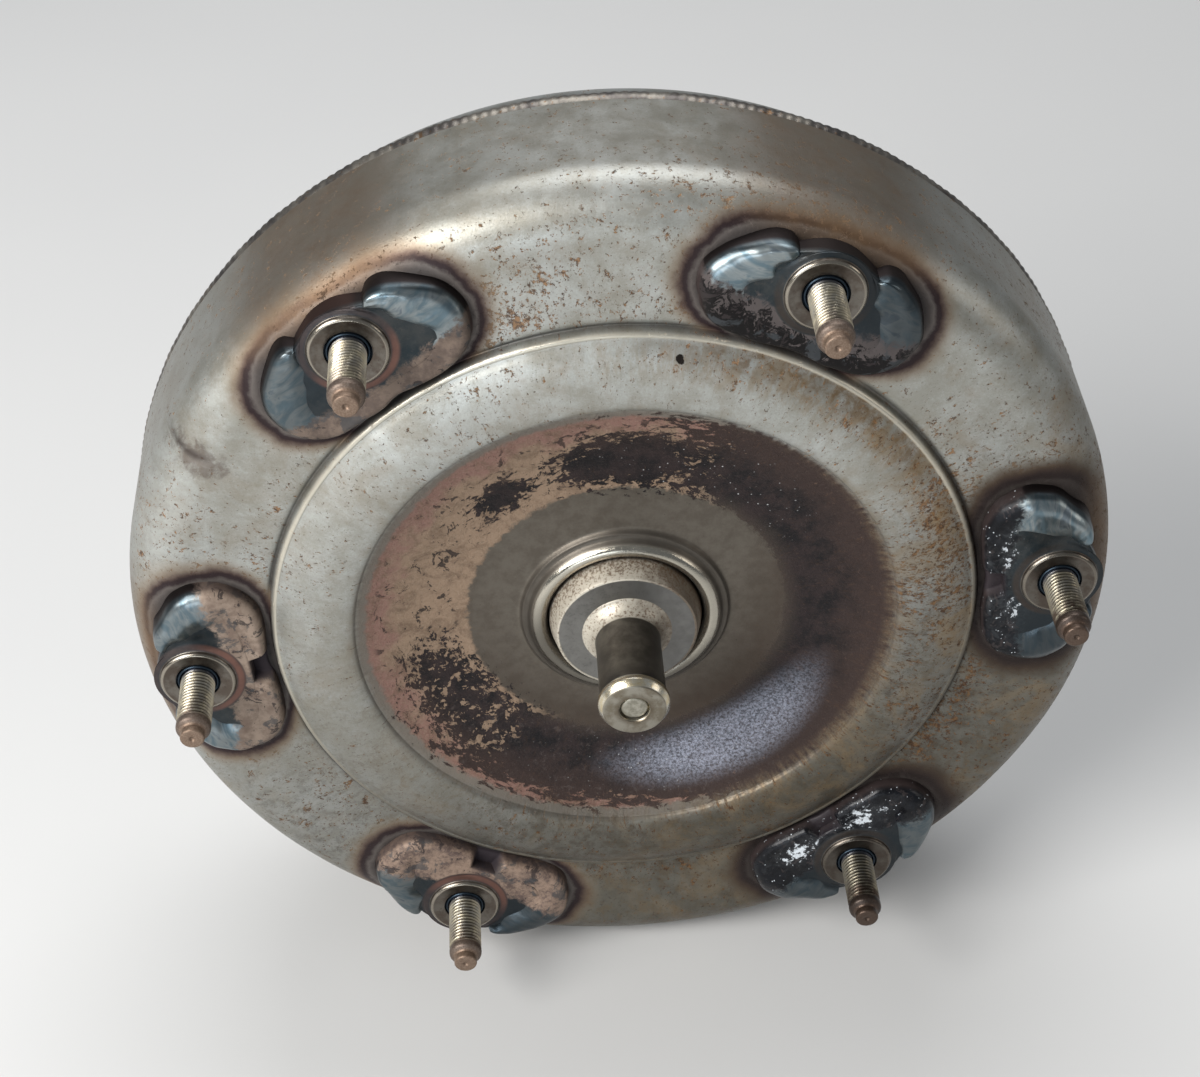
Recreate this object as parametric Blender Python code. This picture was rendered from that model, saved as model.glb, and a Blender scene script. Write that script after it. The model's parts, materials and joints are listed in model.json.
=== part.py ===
"""Torque converter of an automatic transaxle: welded housing with pilot and studs, impeller, turbine,
stator on a one-way clutch, and a lock-up piston with a spring damper.

The rotation axis is Y. The engine side faces -Y. Y = 0 is the plane of the six machined stud faces,
which the flexplate bolts against, and the origin is where the axis crosses it. Profiles are lists of
(radius, y) and outlines are lists of (x, y), both in millimetres; MM turns them into metres when a
mesh is made.
"""

import math

import bmesh
import bpy
from mathutils import Matrix, Vector

MM = 0.001
GAP = 0.3                     # clearance between two solids that touch or are welded together

# ---- driving dimensions, millimetres ----
STUD_CIRCLE_R = 125.0
STUD_COUNT = 6
STUD_PHASE_DEG = 6.0          # angle of the first stud above +X, seen from the engine side
STUD_R = 5.0                  # M10
STUD_LENGTH = 23.4            # from the stud face to the tip
COVER_R = 143.3
COVER_RIM_FILLET = 15.5
COVER_WALL = 4.2
COVER_REAR_Y = 54.0
COLLAR_R = 11.0
SEAT_R = 6.15                 # recess round each stud
SEAT_DEPTH = 1.6
BLOCK_ROOT_Y = 12.0           # how deep the blocks and their welds run before the cover's shape is cut away
PILOT_R = 10.2
PILOT_LENGTH = 32.1
TORUS_R = 92.0                # centre of the torus section
TORUS_Y = 62.0                # plane between impeller and turbine
SHELL_A, SHELL_B = 46.4, 34.0 # half-axes of the impeller shell's outer surface
SHELL_WALL = 3.5
TURBINE_A, TURBINE_B = 40.9, 29.0
TURBINE_WALL = 1.8
CORE_A, CORE_B = 18.0, 13.0
CORE_WALL = 1.2
HUB_R, HUB_BORE_R = 22.5, 19.0
HUB_REAR_Y = 122.0
DAMPER_R, DAMPER_Y = 108.0, 24.9
SPRING_COUNT = 6
LINING_THICKNESS = 1.4

BLADE_CLEARANCE = 2.4         # covers the flats that stand in for the round shell
BLADE_THICKNESS = 1.4
COVER_SEGMENTS = 36
IMPELLER_BLADES, TURBINE_BLADES, STATOR_BLADES = 13, 11, 9
ROLLER_COUNT = 8
DRIVE_SLOT_WIDTH, DRIVE_SLOT_DEPTH = 10.0, 11.0
WEIGHT_ANGLES_DEG = (38.0, 218.0)
WEIGHT_SEAT_DEG = 52.0        # where the weights sit on the torus section, from its largest radius rearwards


# ---- scene and materials ----

def clear_scene():
    for obj in list(bpy.data.objects):
        bpy.data.objects.remove(obj)


def make_material(name, colour, metallic, roughness):
    material = bpy.data.materials.new(name)
    material.use_nodes = True
    shader = material.node_tree.nodes["Principled BSDF"]
    shader.inputs["Base Color"].default_value = (*colour, 1.0)
    shader.inputs["Metallic"].default_value = metallic
    shader.inputs["Roughness"].default_value = roughness
    material.diffuse_color = (*colour, 1.0)
    return material


def make_materials():
    table = {
        "bare_steel": ((0.47, 0.45, 0.40), 0.9, 0.38),
        "weld_steel": ((0.16, 0.18, 0.20), 0.8, 0.32),
        "block_steel": ((0.20, 0.19, 0.18), 0.8, 0.42),
        "stud_steel": ((0.42, 0.36, 0.28), 0.9, 0.35),
        "pilot_steel": ((0.38, 0.35, 0.30), 0.9, 0.36),
        "machined_steel": ((0.55, 0.55, 0.54), 1.0, 0.25),
        "pressed_steel": ((0.40, 0.40, 0.40), 0.9, 0.40),
        "spring_steel": ((0.30, 0.31, 0.34), 1.0, 0.30),
        "cast_aluminium": ((0.66, 0.66, 0.65), 0.9, 0.45),
        "friction_paper": ((0.24, 0.17, 0.11), 0.0, 0.90),
        "seal_rubber": ((0.05, 0.05, 0.05), 0.0, 0.60),
    }
    return {name: make_material(name, *values) for name, values in table.items()}


def add_object(name, bm, material, helper=False):
    """A named object from a bmesh, with outward normals. A helper is a cutter or is joined to another."""
    bmesh.ops.remove_doubles(bm, verts=bm.verts, dist=1e-7)
    bmesh.ops.recalc_face_normals(bm, faces=bm.faces)
    mesh = bpy.data.meshes.new(name)
    bm.to_mesh(mesh)
    bm.free()
    mesh.shade_smooth()
    mesh.set_sharp_from_angle(angle=math.radians(30))
    obj = bpy.data.objects.new(name, mesh)
    bpy.context.scene.collection.objects.link(obj)
    if material:
        mesh.materials.append(material)
    if helper:
        obj.hide_render = True
        obj.display_type = "WIRE"
    return obj


def boolean(obj, other, operation):
    modifier = obj.modifiers.new(other.name, "BOOLEAN")
    modifier.operation = operation
    modifier.object = other
    modifier.solver = "EXACT"
    return obj


# ---- shapes ----

def turned(name, profile, segments, material, helper=False):
    """Solid of revolution about Y. A profile that ends on the axis is open there, any other is closed."""
    bm = bmesh.new()
    verts = [bm.verts.new((r * MM, y * MM, 0.0)) for r, y in profile]
    pairs = list(zip(verts, verts[1:]))
    if profile[0][0] > 0 or profile[-1][0] > 0:
        pairs.append((verts[-1], verts[0]))
    edges = [bm.edges.new(pair) for pair in pairs]
    bmesh.ops.spin(bm, geom=verts + edges, cent=(0, 0, 0), axis=(0, 1, 0), angle=2 * math.pi, steps=segments,
                   use_merge=True, use_duplicate=False)
    return add_object(name, bm, material, helper)


def skin_rings(bm, rings):
    """Faces between rings of points, with the first and the last ring closed off."""
    for first, second in zip(rings, rings[1:]):
        for i in range(len(first)):
            j = (i + 1) % len(first)
            bm.faces.new((first[i], first[j], second[j], second[i]))
    bm.faces.new(rings[0])
    bm.faces.new(reversed(rings[-1]))


def prism(name, levels, material, matrix=None, helper=False):
    """Stacked outlines, with equal point counts, joined into one solid. Each level is (outline, y)."""
    bm = bmesh.new()
    skin_rings(bm, [[bm.verts.new((x * MM, y * MM, z * MM)) for x, z in outline] for outline, y in levels])
    if matrix:
        bm.transform(matrix)
    return add_object(name, bm, material, helper)


def ring_prism(name, inner, outer, y_front, y_rear, material, helper=False):
    """Flat-ended ring between two loops that have the same number of points."""
    bm = bmesh.new()
    loops = [[bm.verts.new((x * MM, y * MM, z * MM)) for x, z in loop]
             for y in (y_front, y_rear) for loop in (inner, outer)]
    inner_front, outer_front, inner_rear, outer_rear = loops
    count = len(inner)
    for a, b in ((inner_front, outer_front), (outer_front, outer_rear), (outer_rear, inner_rear),
                 (inner_rear, inner_front)):
        for i in range(count):
            j = (i + 1) % count
            bm.faces.new((a[i], a[j], b[j], b[i]))
    return add_object(name, bm, material, helper)


def circle(radius, count):
    angles = [2 * math.pi * i / count for i in range(count)]
    return [(radius * math.cos(angle), radius * math.sin(angle)) for angle in angles]


def spline_loop(minor_r, major_r, teeth):
    """Straight-sided spline: each tooth takes four points, two at the minor and two at the major radius."""
    loop = []
    for tooth in range(teeth):
        for radius, share in ((minor_r, 0.05), (minor_r, 0.45), (major_r, 0.55), (major_r, 0.95)):
            angle = 2 * math.pi * (tooth + share) / teeth
            loop.append((radius * math.cos(angle), radius * math.sin(angle)))
    return loop


def inset(outline, distance):
    """The outline moved inwards by a distance, for outlines listed anticlockwise."""
    moved = []
    count = len(outline)
    for i in range(count):
        before, here, after = (Vector(outline[(i + k) % count]) for k in (-1, 0, 1))
        normals = [Vector((-(b - a).y, (b - a).x)).normalized() for a, b in ((before, here), (here, after))]
        bisector = (normals[0] + normals[1]).normalized()
        moved.append(tuple(here + bisector * distance / max(0.4, bisector.dot(normals[0]))))
    return moved


def arc_points(centre, radii, start_deg, end_deg, steps):
    """Points on an ellipse in a profile, from start to end. The point at 0 degrees has the largest radius."""
    points = []
    for i in range(steps + 1):
        angle = math.radians(start_deg + (end_deg - start_deg) * i / steps)
        points.append((centre[0] + radii[0] * math.cos(angle), centre[1] + radii[1] * math.sin(angle)))
    return points


def place(obj, angle_deg, radius=0.0):
    """Turns an object about Y and moves it out along its own radius. Angles rise from +X towards +Z."""
    turn = Matrix.Rotation(-math.radians(angle_deg), 4, "Y")
    obj.matrix_world = turn @ Matrix.Translation((radius * MM, 0, 0)) @ obj.matrix_world
    return obj


# ---- front cover, pilot and studs ----

RIM_FACE_Y = 6.6              # the outer annulus, level with the top of the rim fillet
RIM_CENTRE = (COVER_R - COVER_RIM_FILLET, RIM_FACE_Y + COVER_RIM_FILLET)
COVER_FRONT = [
    (21.8, 7.6), (24.4, 5.4), (26.4, 5.2), (31.0, 10.0), (44.0, 10.2), (62.0, 7.6), (75.0, 3.2),
    (81.0, 0.1), (90.0, 0.2), (98.0, 2.8), (101.0, 4.8), (102.2, 6.9),
]
COVER_INSIDE = [(102.0, 10.8), (97.0, 7.0), (83.0, 4.9), (66.0, 11.0), (46.0, 14.4), (21.8, 14.4)]


def cover_front_profile():
    return COVER_FRONT + arc_points(RIM_CENTRE, (COVER_RIM_FILLET, COVER_RIM_FILLET), -90, 0, 4)


def make_cover(mats):
    inner_r = COVER_RIM_FILLET - COVER_WALL
    profile = cover_front_profile()
    profile += [(COVER_R, COVER_REAR_Y), (COVER_R - COVER_WALL, COVER_REAR_Y)]
    profile += arc_points(RIM_CENTRE, (inner_r, inner_r), 0, -90, 3)
    profile += COVER_INSIDE
    return turned("front_cover", profile, COVER_SEGMENTS, mats["bare_steel"])


def make_cover_cutter():
    """The space that the cover fills, with the gap added, so that blocks and welds lie on its surface."""
    profile = [(r, y - GAP) for r, y in cover_front_profile()]
    profile += [(COVER_R, COVER_REAR_Y), (21.8, COVER_REAR_Y)]
    return turned("cover_cutter", profile, COVER_SEGMENTS, None, helper=True)


def make_pilot(mats):
    profile = [
        (0, -28.6), (4.3, -28.6), (4.3, -PILOT_LENGTH), (8.6, -PILOT_LENGTH), (10.0, -30.0),
        (PILOT_R, -29.2), (PILOT_R, -28.2), (9.35, -27.3), (9.35, -4.4), (10.6, -1.6), (12.8, 0.2),
        (19.4, 0.2), (20.0, 0.8), (21.4, 6.4), (21.4, 14.9), (29.0, 14.9), (29.0, 17.0), (0, 17.0),
    ]
    turned("pilot_boss", profile, 24, mats["pilot_steel"])
    turned("pilot_plug", [(0, -31.4), (3.9, -31.4), (3.9, -28.9), (0, -28.9)], 16, mats["machined_steel"])


# Half outlines of the pad at each stud, seen from the front: x is along the rim, y is outwards.
BLOCK_HALF = [(0.0, -15.6), (17.0, -15.6), (22.4, -13.2), (23.6, -9.2), (14.0, 7.4), (10.6, 9.6)]
WELD_HALF = [(0.0, -21.0), (17.0, -22.0), (24.0, -20.4), (28.6, -16.6), (31.6, -10.0), (31.6, -4.4),
             (28.6, 2.2), (22.6, 8.6), (17.6, 11.4), (13.0, 11.2)]


def mirrored(half):
    """A closed outline, anticlockwise, from its right half, whose points run from the bottom to the top."""
    left = [(-x, y) for x, y in reversed(half) if x > 0]
    return half + left


def pad_matrix(angle_deg):
    """Places a pad outline, drawn around the stud, on the stud circle."""
    upright = Matrix.Rotation(-math.radians(angle_deg - 90), 4, "Y")
    return upright @ Matrix.Translation((0, 0, STUD_CIRCLE_R * MM))


def make_block(index, angle_deg, cover_cutter, mats):
    matrix = pad_matrix(angle_deg)
    outline = mirrored(BLOCK_HALF)
    levels = [(inset(outline, 0.8), 1.8), (outline, 2.6), (outline, BLOCK_ROOT_Y)]
    block = prism(f"stud_block_{index}", levels, mats["block_steel"], matrix)
    collar = prism(f"collar_{index}", [(circle(COLLAR_R - 0.8, 16), 0.0), (circle(COLLAR_R, 16), 0.8),
                                       (circle(COLLAR_R, 16), 3.0)], None, matrix, helper=True)
    seat, bore = circle(SEAT_R, 12), circle(STUD_R + GAP, 12)
    recess = prism(f"recess_{index}", [(seat, -1.0), (seat, SEAT_DEPTH)], None, matrix, helper=True)
    hole = prism(f"hole_{index}", [(bore, -1.0), (bore, BLOCK_ROOT_Y + 2.0)], None, matrix, helper=True)
    boolean(block, collar, "UNION")
    boolean(block, recess, "DIFFERENCE")
    boolean(block, hole, "DIFFERENCE")
    boolean(block, cover_cutter, "DIFFERENCE")


def make_pad_weld(index, angle_deg, cover_cutter, mats):
    """One C-shaped bead: a lobe at each end of the block, joined by a root run along its inner edge."""
    matrix = pad_matrix(angle_deg)
    outline = mirrored(WELD_HALF)
    levels = [(inset(outline, 2.6), 2.3), (inset(outline, 0.7), 3.6), (outline, BLOCK_ROOT_Y)]
    weld = prism(f"block_weld_{index}", levels, mats["weld_steel"], matrix)
    room = inset(mirrored(BLOCK_HALF), -GAP)
    raised = [(x, y + 6.0 if y > 0 else y) for x, y in room]
    levels = [(raised, -1.0), (raised, BLOCK_ROOT_Y + 2.0)]
    cutter = prism(f"block_room_{index}", levels, None, matrix, helper=True)
    boolean(weld, cutter, "DIFFERENCE")
    boolean(weld, cover_cutter, "DIFFERENCE")


def make_stud(index, angle_deg, mats):
    tip = -STUD_LENGTH
    profile = [
        (0, tip), (3.1, tip), (3.5, tip + 0.5), (3.5, tip + 2.4), (STUD_R, tip + 4.2), (STUD_R, 3.6),
        (0, 3.6),
    ]
    stud = turned(f"stud_{index}", profile, 12, mats["stud_steel"])
    place(stud, angle_deg, STUD_CIRCLE_R)


def make_studs(mats):
    cover_cutter = make_cover_cutter()
    for number in range(STUD_COUNT):
        angle = STUD_PHASE_DEG + 360 / STUD_COUNT * number
        make_block(number + 1, angle, cover_cutter, mats)
        make_pad_weld(number + 1, angle, cover_cutter, mats)
        make_stud(number + 1, angle, mats)


# ---- impeller ----

def shell_ellipse(offset, start_deg, end_deg, steps):
    return arc_points((TORUS_R, TORUS_Y), (SHELL_A - offset, SHELL_B - offset), start_deg, end_deg, steps)


def make_impeller_shell(mats):
    outer_r = TORUS_R + SHELL_A
    front_y = COVER_REAR_Y - 6.5
    profile = [(outer_r, front_y)] + shell_ellipse(0, 0, 148, 7)
    profile += [(46.2, 78.4), (46.2, 74.9)]
    profile += shell_ellipse(SHELL_WALL, 148, 0, 6)
    profile += [(outer_r - SHELL_WALL, front_y)]
    turned("impeller_shell", profile, COVER_SEGMENTS, mats["bare_steel"])


def make_seam_weld(mats):
    """Fillet bead that closes the housing between the cover's rear edge and the impeller shell."""
    inner = TORUS_R + SHELL_A + GAP
    profile = [(inner, COVER_REAR_Y + GAP), (COVER_R - 0.4, COVER_REAR_Y + GAP),
               (COVER_R - 0.7, COVER_REAR_Y + 2.4), (COVER_R - 2.2, COVER_REAR_Y + 4.4),
               (inner, COVER_REAR_Y + 5.2)]
    turned("seam_weld", profile, COVER_SEGMENTS, mats["weld_steel"])


def make_impeller_hub(mats):
    profile = [(HUB_BORE_R, 74.2), (45.5, 74.2), (45.5, 78.0), (27.0, 78.6), (23.6, 80.0), (HUB_R, 83.0),
               (HUB_R, HUB_REAR_Y - 1.2), (HUB_R - 1.2, HUB_REAR_Y), (HUB_BORE_R + 0.6, HUB_REAR_Y),
               (HUB_BORE_R, HUB_REAR_Y - 0.6)]
    hub = turned("impeller_hub", profile, 28, mats["machined_steel"])
    half_width = DRIVE_SLOT_WIDTH / 2
    slot = [(-30, -half_width), (30, -half_width), (30, half_width), (-30, half_width)]
    levels = [(slot, HUB_REAR_Y - DRIVE_SLOT_DEPTH), (slot, HUB_REAR_Y + 5.0)]
    cutter = prism("drive_slot_cutter", levels, None, helper=True)
    boolean(hub, cutter, "DIFFERENCE")


def add_blade(bm, path, thickness, base_angle):
    """One sheet-metal blade. path holds (core point, shell point, wrap angle); the ends are closed."""
    rings = []
    for core, shell, wrap in path:
        ring = []
        for (r, y), side in ((core, -1), (core, 1), (shell, 1), (shell, -1)):
            angle = base_angle + wrap + side * thickness / 2 / r
            ring.append(bm.verts.new((r * math.cos(angle) * MM, y * MM, r * math.sin(angle) * MM)))
        rings.append(ring)
    skin_rings(bm, rings)


def make_blade_wheel(name, count, side, core_half_axes, shell_half_axes, split_y, wrap_deg, material):
    """Core ring with its blades. side is 1 behind the split plane, for the impeller, and -1 in front."""
    core_a, core_b = core_half_axes
    centre = (TORUS_R, split_y)
    ring_profile = arc_points(centre, (core_a, side * core_b), 6, 174, 3)
    ring_profile += arc_points(centre, (core_a - CORE_WALL, side * (core_b - CORE_WALL)), 174, 6, 3)
    ring = turned(name, ring_profile, 2 * count, material)
    angles = [14, 58, 102, 146]
    middle_a, middle_b = core_a - CORE_WALL / 2, core_b - CORE_WALL / 2
    path = []
    for angle in angles:
        core = arc_points(centre, (middle_a, side * middle_b), angle, angle, 1)[0]
        shell = arc_points(centre, (shell_half_axes[0], side * shell_half_axes[1]), angle, angle, 1)[0]
        path.append((core, shell, math.radians(wrap_deg) * (angle / 180) ** 1.3))
    bm = bmesh.new()
    for number in range(count):
        add_blade(bm, path, BLADE_THICKNESS, 2 * math.pi * number / count)
    blades = add_object(f"{name}_blades", bm, None, helper=True)
    boolean(ring, blades, "UNION")


def make_impeller(mats):
    make_impeller_shell(mats)
    make_seam_weld(mats)
    make_impeller_hub(mats)
    inner = (SHELL_A - SHELL_WALL - BLADE_CLEARANCE, SHELL_B - SHELL_WALL - BLADE_CLEARANCE)
    make_blade_wheel("impeller_blades", IMPELLER_BLADES, 1, (CORE_A, CORE_B), inner, TORUS_Y, 24,
                     mats["pressed_steel"])


def make_balance_weights(mats):
    """Two small plates welded to the impeller shell opposite each other."""
    seat = math.radians(WEIGHT_SEAT_DEG)
    seat_r = TORUS_R + SHELL_A * math.cos(seat)
    seat_y = TORUS_Y + SHELL_B * math.sin(seat)
    slope = math.atan2(SHELL_B * math.cos(seat), SHELL_A * math.sin(seat))
    for number, angle in enumerate(WEIGHT_ANGLES_DEG, start=1):
        outline = [(-6, -11), (6, -11), (6, 11), (-6, 11)]
        levels = [(outline, 0.0), (outline, 2.4), (inset(outline, 0.8), 3.2)]
        weight = prism(f"balance_weight_{number}", levels, mats["pressed_steel"])
        tilt = Matrix.Rotation(-slope, 4, "Z")
        moved = Matrix.Translation((seat_r * MM, (seat_y + 0.5) * MM, 0))
        weight.matrix_world = Matrix.Rotation(-math.radians(angle), 4, "Y") @ moved @ tilt


# ---- turbine ----

TURBINE_SPLIT_Y = TORUS_Y - 1.0


def make_turbine_shell(mats):
    def front(offset, start_deg, end_deg, steps):
        radii = (TURBINE_A - offset, -(TURBINE_B - offset))
        return arc_points((TORUS_R, TURBINE_SPLIT_Y), radii, start_deg, end_deg, steps)
    profile = front(0, 0, 150, 5) + [(50.0, 45.0), (34.4, 45.0), (34.4, 46.8), (50.6, 46.8)]
    profile += front(TURBINE_WALL, 148, 0, 5)
    turned("turbine_shell", profile, 30, mats["pressed_steel"])


def make_turbine_hub(mats):
    profile = [
        (11.3, 21.2), (20.0, 21.2), (20.0, 26.2), (18.0, 26.2), (18.0, 28.4), (20.0, 28.4), (20.0, 38.0),
        (22.0, 40.6), (45.0, 40.6), (45.0, 44.7), (34.0, 44.7), (34.0, 47.0), (11.3, 47.0),
    ]
    hub = turned("turbine_hub", profile, 24, mats["machined_steel"])
    spline_outline = spline_loop(11.0, 12.6, 12)
    levels = [(spline_outline, 19.0), (spline_outline, 49.0)]
    spline = prism("input_spline_cutter", levels, None, helper=True)
    boolean(hub, spline, "DIFFERENCE")
    turned("piston_seal_ring", rectangle(18.4, 20.0, 26.5, 28.1), 24, mats["seal_rubber"])


def make_turbine(mats):
    make_turbine_shell(mats)
    make_turbine_hub(mats)
    inner = (TURBINE_A - TURBINE_WALL - BLADE_CLEARANCE, TURBINE_B - TURBINE_WALL - BLADE_CLEARANCE)
    make_blade_wheel("turbine_blades", TURBINE_BLADES, -1, (CORE_A, CORE_B - 1.0), inner, TURBINE_SPLIT_Y,
                     -38, mats["pressed_steel"])


# ---- lock-up piston and torsional damper ----

def radial_tabs(name, outlines, half_width, count, first_deg):
    """Helper shape: tabs of a constant width round the axis. Each outline, of (radius, y), is one body."""
    bm = bmesh.new()
    for number in range(count):
        turn = Matrix.Rotation(-math.radians(first_deg + 360 / count * number), 4, "Y")
        for outline in outlines:
            skin_rings(bm, [[bm.verts.new(turn @ Vector((r * MM, y * MM, z * MM))) for r, y in outline]
                            for z in (-half_width, half_width)])
    return add_object(name, bm, None, helper=True)


def rectangle(r_low, r_high, y_front, y_rear):
    return [(r_low, y_front), (r_high, y_front), (r_high, y_rear), (r_low, y_rear)]


def make_piston(mats):
    profile = [
        (20.4, 22.4), (25.0, 22.4), (44.0, 19.0), (80.0, 14.4), (100.0, 13.4), (122.0, 13.4), (124.5, 15.8),
        (124.5, 25.0), (121.6, 25.0), (121.6, 17.6), (119.6, 16.2), (80.0, 17.4), (44.0, 22.0), (23.8, 25.8),
        (23.8, 32.0), (20.4, 32.0),
    ]
    piston = turned("lockup_piston", profile, 30, mats["pressed_steel"])
    slot = rectangle(120.6, 129.0, 19.0, 28.0)
    slots = radial_tabs("piston_slot_cutters", [slot], 4.5, 2 * SPRING_COUNT, 15)
    boolean(piston, slots, "DIFFERENCE")
    lining = rectangle(105.0, 118.4, 12.9, 13.1 - LINING_THICKNESS)
    turned("friction_lining", lining, 30, mats["friction_paper"])


def make_spring_retainer(mats):
    """Channel behind the piston: its lugs slide in the piston's slots and its stops drive the springs."""
    profile = [(99.0, 17.2), (116.6, 17.2), (119.0, 19.4), (119.0, 31.0), (117.0, 31.0), (117.0, 20.2),
               (115.6, 18.6), (99.0, 18.6)]
    retainer = turned("spring_retainer", profile, 30, mats["pressed_steel"])
    lugs = radial_tabs("retainer_lugs", [rectangle(117.6, 124.0, 21.0, 24.0)], 3.8, 2 * SPRING_COUNT, 15)
    stops = radial_tabs("retainer_stops", [rectangle(109.0, 117.8, 18.0, 30.0)], 4.5, SPRING_COUNT, 0)
    boolean(retainer, lugs, "UNION")
    boolean(retainer, stops, "UNION")


def make_driven_plate(mats):
    """Ring welded to the turbine shell, with fingers that reach forward between the springs."""
    plate = turned("driven_plate", rectangle(82.0, 101.0, 29.6, 31.6), 30, mats["pressed_steel"])
    finger = [(99.4, 29.6), (102.0, 29.6), (102.0, 20.0), (108.4, 20.0), (108.4, 31.6), (99.4, 31.6)]
    boolean(plate, radial_tabs("driven_fingers", [finger], 4.5, SPRING_COUNT, 0), "UNION")


def make_damper_spring(index, mats):
    """Coil spring bent to the damper's arc, between two stops."""
    end_gap = math.radians(3.5)
    start = 2 * math.pi * (index - 1) / SPRING_COUNT + end_gap
    span = 2 * math.pi / SPRING_COUNT - 2 * end_gap
    turns, steps_per_turn, coil_r, wire_r = 5, 6, 4.6, 1.3
    curve = bpy.data.curves.new(f"damper_spring_{index}", "CURVE")
    curve.dimensions = "3D"
    curve.bevel_depth = wire_r * MM
    curve.bevel_resolution = 0
    curve.use_fill_caps = True
    spline = curve.splines.new("POLY")
    count = turns * steps_per_turn
    spline.points.add(count)
    for i in range(count + 1):
        share = i / count
        around = start + span * share
        twist = 2 * math.pi * turns * share
        r = DAMPER_R + coil_r * math.cos(twist)
        y = DAMPER_Y + coil_r * math.sin(twist)
        spline.points[i].co = (r * math.cos(around) * MM, y * MM, r * math.sin(around) * MM, 1.0)
    spring = bpy.data.objects.new(f"damper_spring_{index}", curve)
    curve.materials.append(mats["spring_steel"])
    bpy.context.scene.collection.objects.link(spring)


def make_lockup(mats):
    make_piston(mats)
    make_spring_retainer(mats)
    make_driven_plate(mats)
    for index in range(1, SPRING_COUNT + 1):
        make_damper_spring(index, mats)


# ---- stator and one-way clutch ----

STATOR_FRONT_Y, STATOR_REAR_Y = 50.6, 69.6
RACE_BORE_R = 38.4


def make_stator_wheel(mats):
    """One casting: hub ring, curved blades and outer band."""
    hub_ring = rectangle(RACE_BORE_R, 46.8, STATOR_FRONT_Y, STATOR_REAR_Y)
    wheel = turned("stator_wheel", hub_ring, 27, mats["cast_aluminium"])
    band = turned("stator_band", rectangle(70.6, 72.4, 54.8, 67.4), 27, None, helper=True)
    # Each section across a blade: y at the hub, y at the band, thickness, and its lean around the axis.
    sections = [(52.0, 55.2, 0.9, 0.0), (57.0, 58.2, 4.2, 4.0), (62.5, 62.2, 3.6, 9.6),
                (68.4, 67.0, 0.9, 17.0)]
    bm = bmesh.new()
    for number in range(STATOR_BLADES):
        base = 2 * math.pi * number / STATOR_BLADES
        rings = []
        for hub_y, band_y, thickness, lean in sections:
            ring = []
            for r, y, side in ((45.6, hub_y, -1), (45.6, hub_y, 1), (71.4, band_y, 1), (71.4, band_y, -1)):
                angle = base + (lean + side * thickness / 2) / r
                ring.append(bm.verts.new((r * math.cos(angle) * MM, y * MM, r * math.sin(angle) * MM)))
            rings.append(ring)
        skin_rings(bm, rings)
    blades = add_object("stator_blades", bm, None, helper=True)
    boolean(wheel, blades, "UNION")
    boolean(wheel, band, "UNION")


def make_one_way_clutch(mats):
    """Outer race with a pocket for each roller, the rollers, and the splined inner race."""
    roller_r, roller_circle_r, race_r = 3.4, 28.8, RACE_BORE_R - 0.7
    pocket_outline = [(27.6, -17.0), (27.6, -9.0), (32.4, -7.6), (33.4, 5.0), (30.2, 11.0), (27.6, 13.0)]
    inner, outer = [], []
    for pocket in range(ROLLER_COUNT):
        middle = 2 * math.pi * pocket / ROLLER_COUNT
        for radius, degrees in pocket_outline:
            angle = middle + math.radians(degrees)
            inner.append((radius * math.cos(angle), radius * math.sin(angle)))
            outer.append((race_r * math.cos(angle), race_r * math.sin(angle)))
    ring_prism("one_way_outer_race", inner, outer, 52.4, 67.8, mats["machined_steel"])
    for index in range(ROLLER_COUNT):
        angle = 2 * math.pi * index / ROLLER_COUNT
        x, z = roller_circle_r * math.cos(angle), roller_circle_r * math.sin(angle)
        matrix = Matrix.Translation((x * MM, 0, z * MM))
        levels = [(circle(roller_r, 10), 53.0), (circle(roller_r, 10), 67.2)]
        prism(f"one_way_roller_{index + 1}", levels, mats["machined_steel"], matrix)
    teeth = 14
    ring_prism("one_way_inner_race", spline_loop(16.4, 17.8, teeth), circle(25.0, 4 * teeth), 50.8, 69.4,
               mats["machined_steel"])
    for name, front_y in (("clutch_side_plate_front", 50.7), ("clutch_side_plate_rear", 68.1)):
        turned(name, rectangle(25.8, race_r, front_y, front_y + 1.4), 24, mats["pressed_steel"])


def make_bearings(mats):
    """Thrust needle bearings, each as one washer-shaped pack."""
    for name, inner_r, outer_r, front_y, rear_y in (
        ("thrust_bearing_cover", 13.0, 19.8, 17.4, 20.8),
        ("thrust_bearing_turbine", 26.0, 37.0, 47.4, 50.3),
        ("thrust_bearing_impeller", 26.0, 37.0, 70.0, 73.8),
    ):
        middle_r, groove = (inner_r + outer_r) / 2, 0.5
        profile = [(inner_r, front_y), (middle_r, front_y + groove), (outer_r, front_y), (outer_r, rear_y),
                   (middle_r, rear_y - groove), (inner_r, rear_y)]
        turned(name, profile, 20, mats["machined_steel"])


def main():
    clear_scene()
    mats = make_materials()
    make_cover(mats)
    make_pilot(mats)
    make_studs(mats)
    make_impeller(mats)
    make_balance_weights(mats)
    make_turbine(mats)
    make_lockup(mats)
    make_stator_wheel(mats)
    make_one_way_clutch(mats)
    make_bearings(mats)


main()
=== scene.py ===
"""Looks for the torque converter: fine surfaces, weathered materials, camera and studio light.

Lengths are millimetres until a mesh is made. The rotation axis is Y, the engine side faces -Y, and Y = 0 is
the plane of the six stud faces. A profile is a list of (radius, y). A pad is the welded block round one stud:
its own axes are u, clockwise along the rim seen from the engine, and v, outwards, both from the stud.
"""

import json
from math import atan2, cos, degrees, hypot, pi, radians, sin

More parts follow.
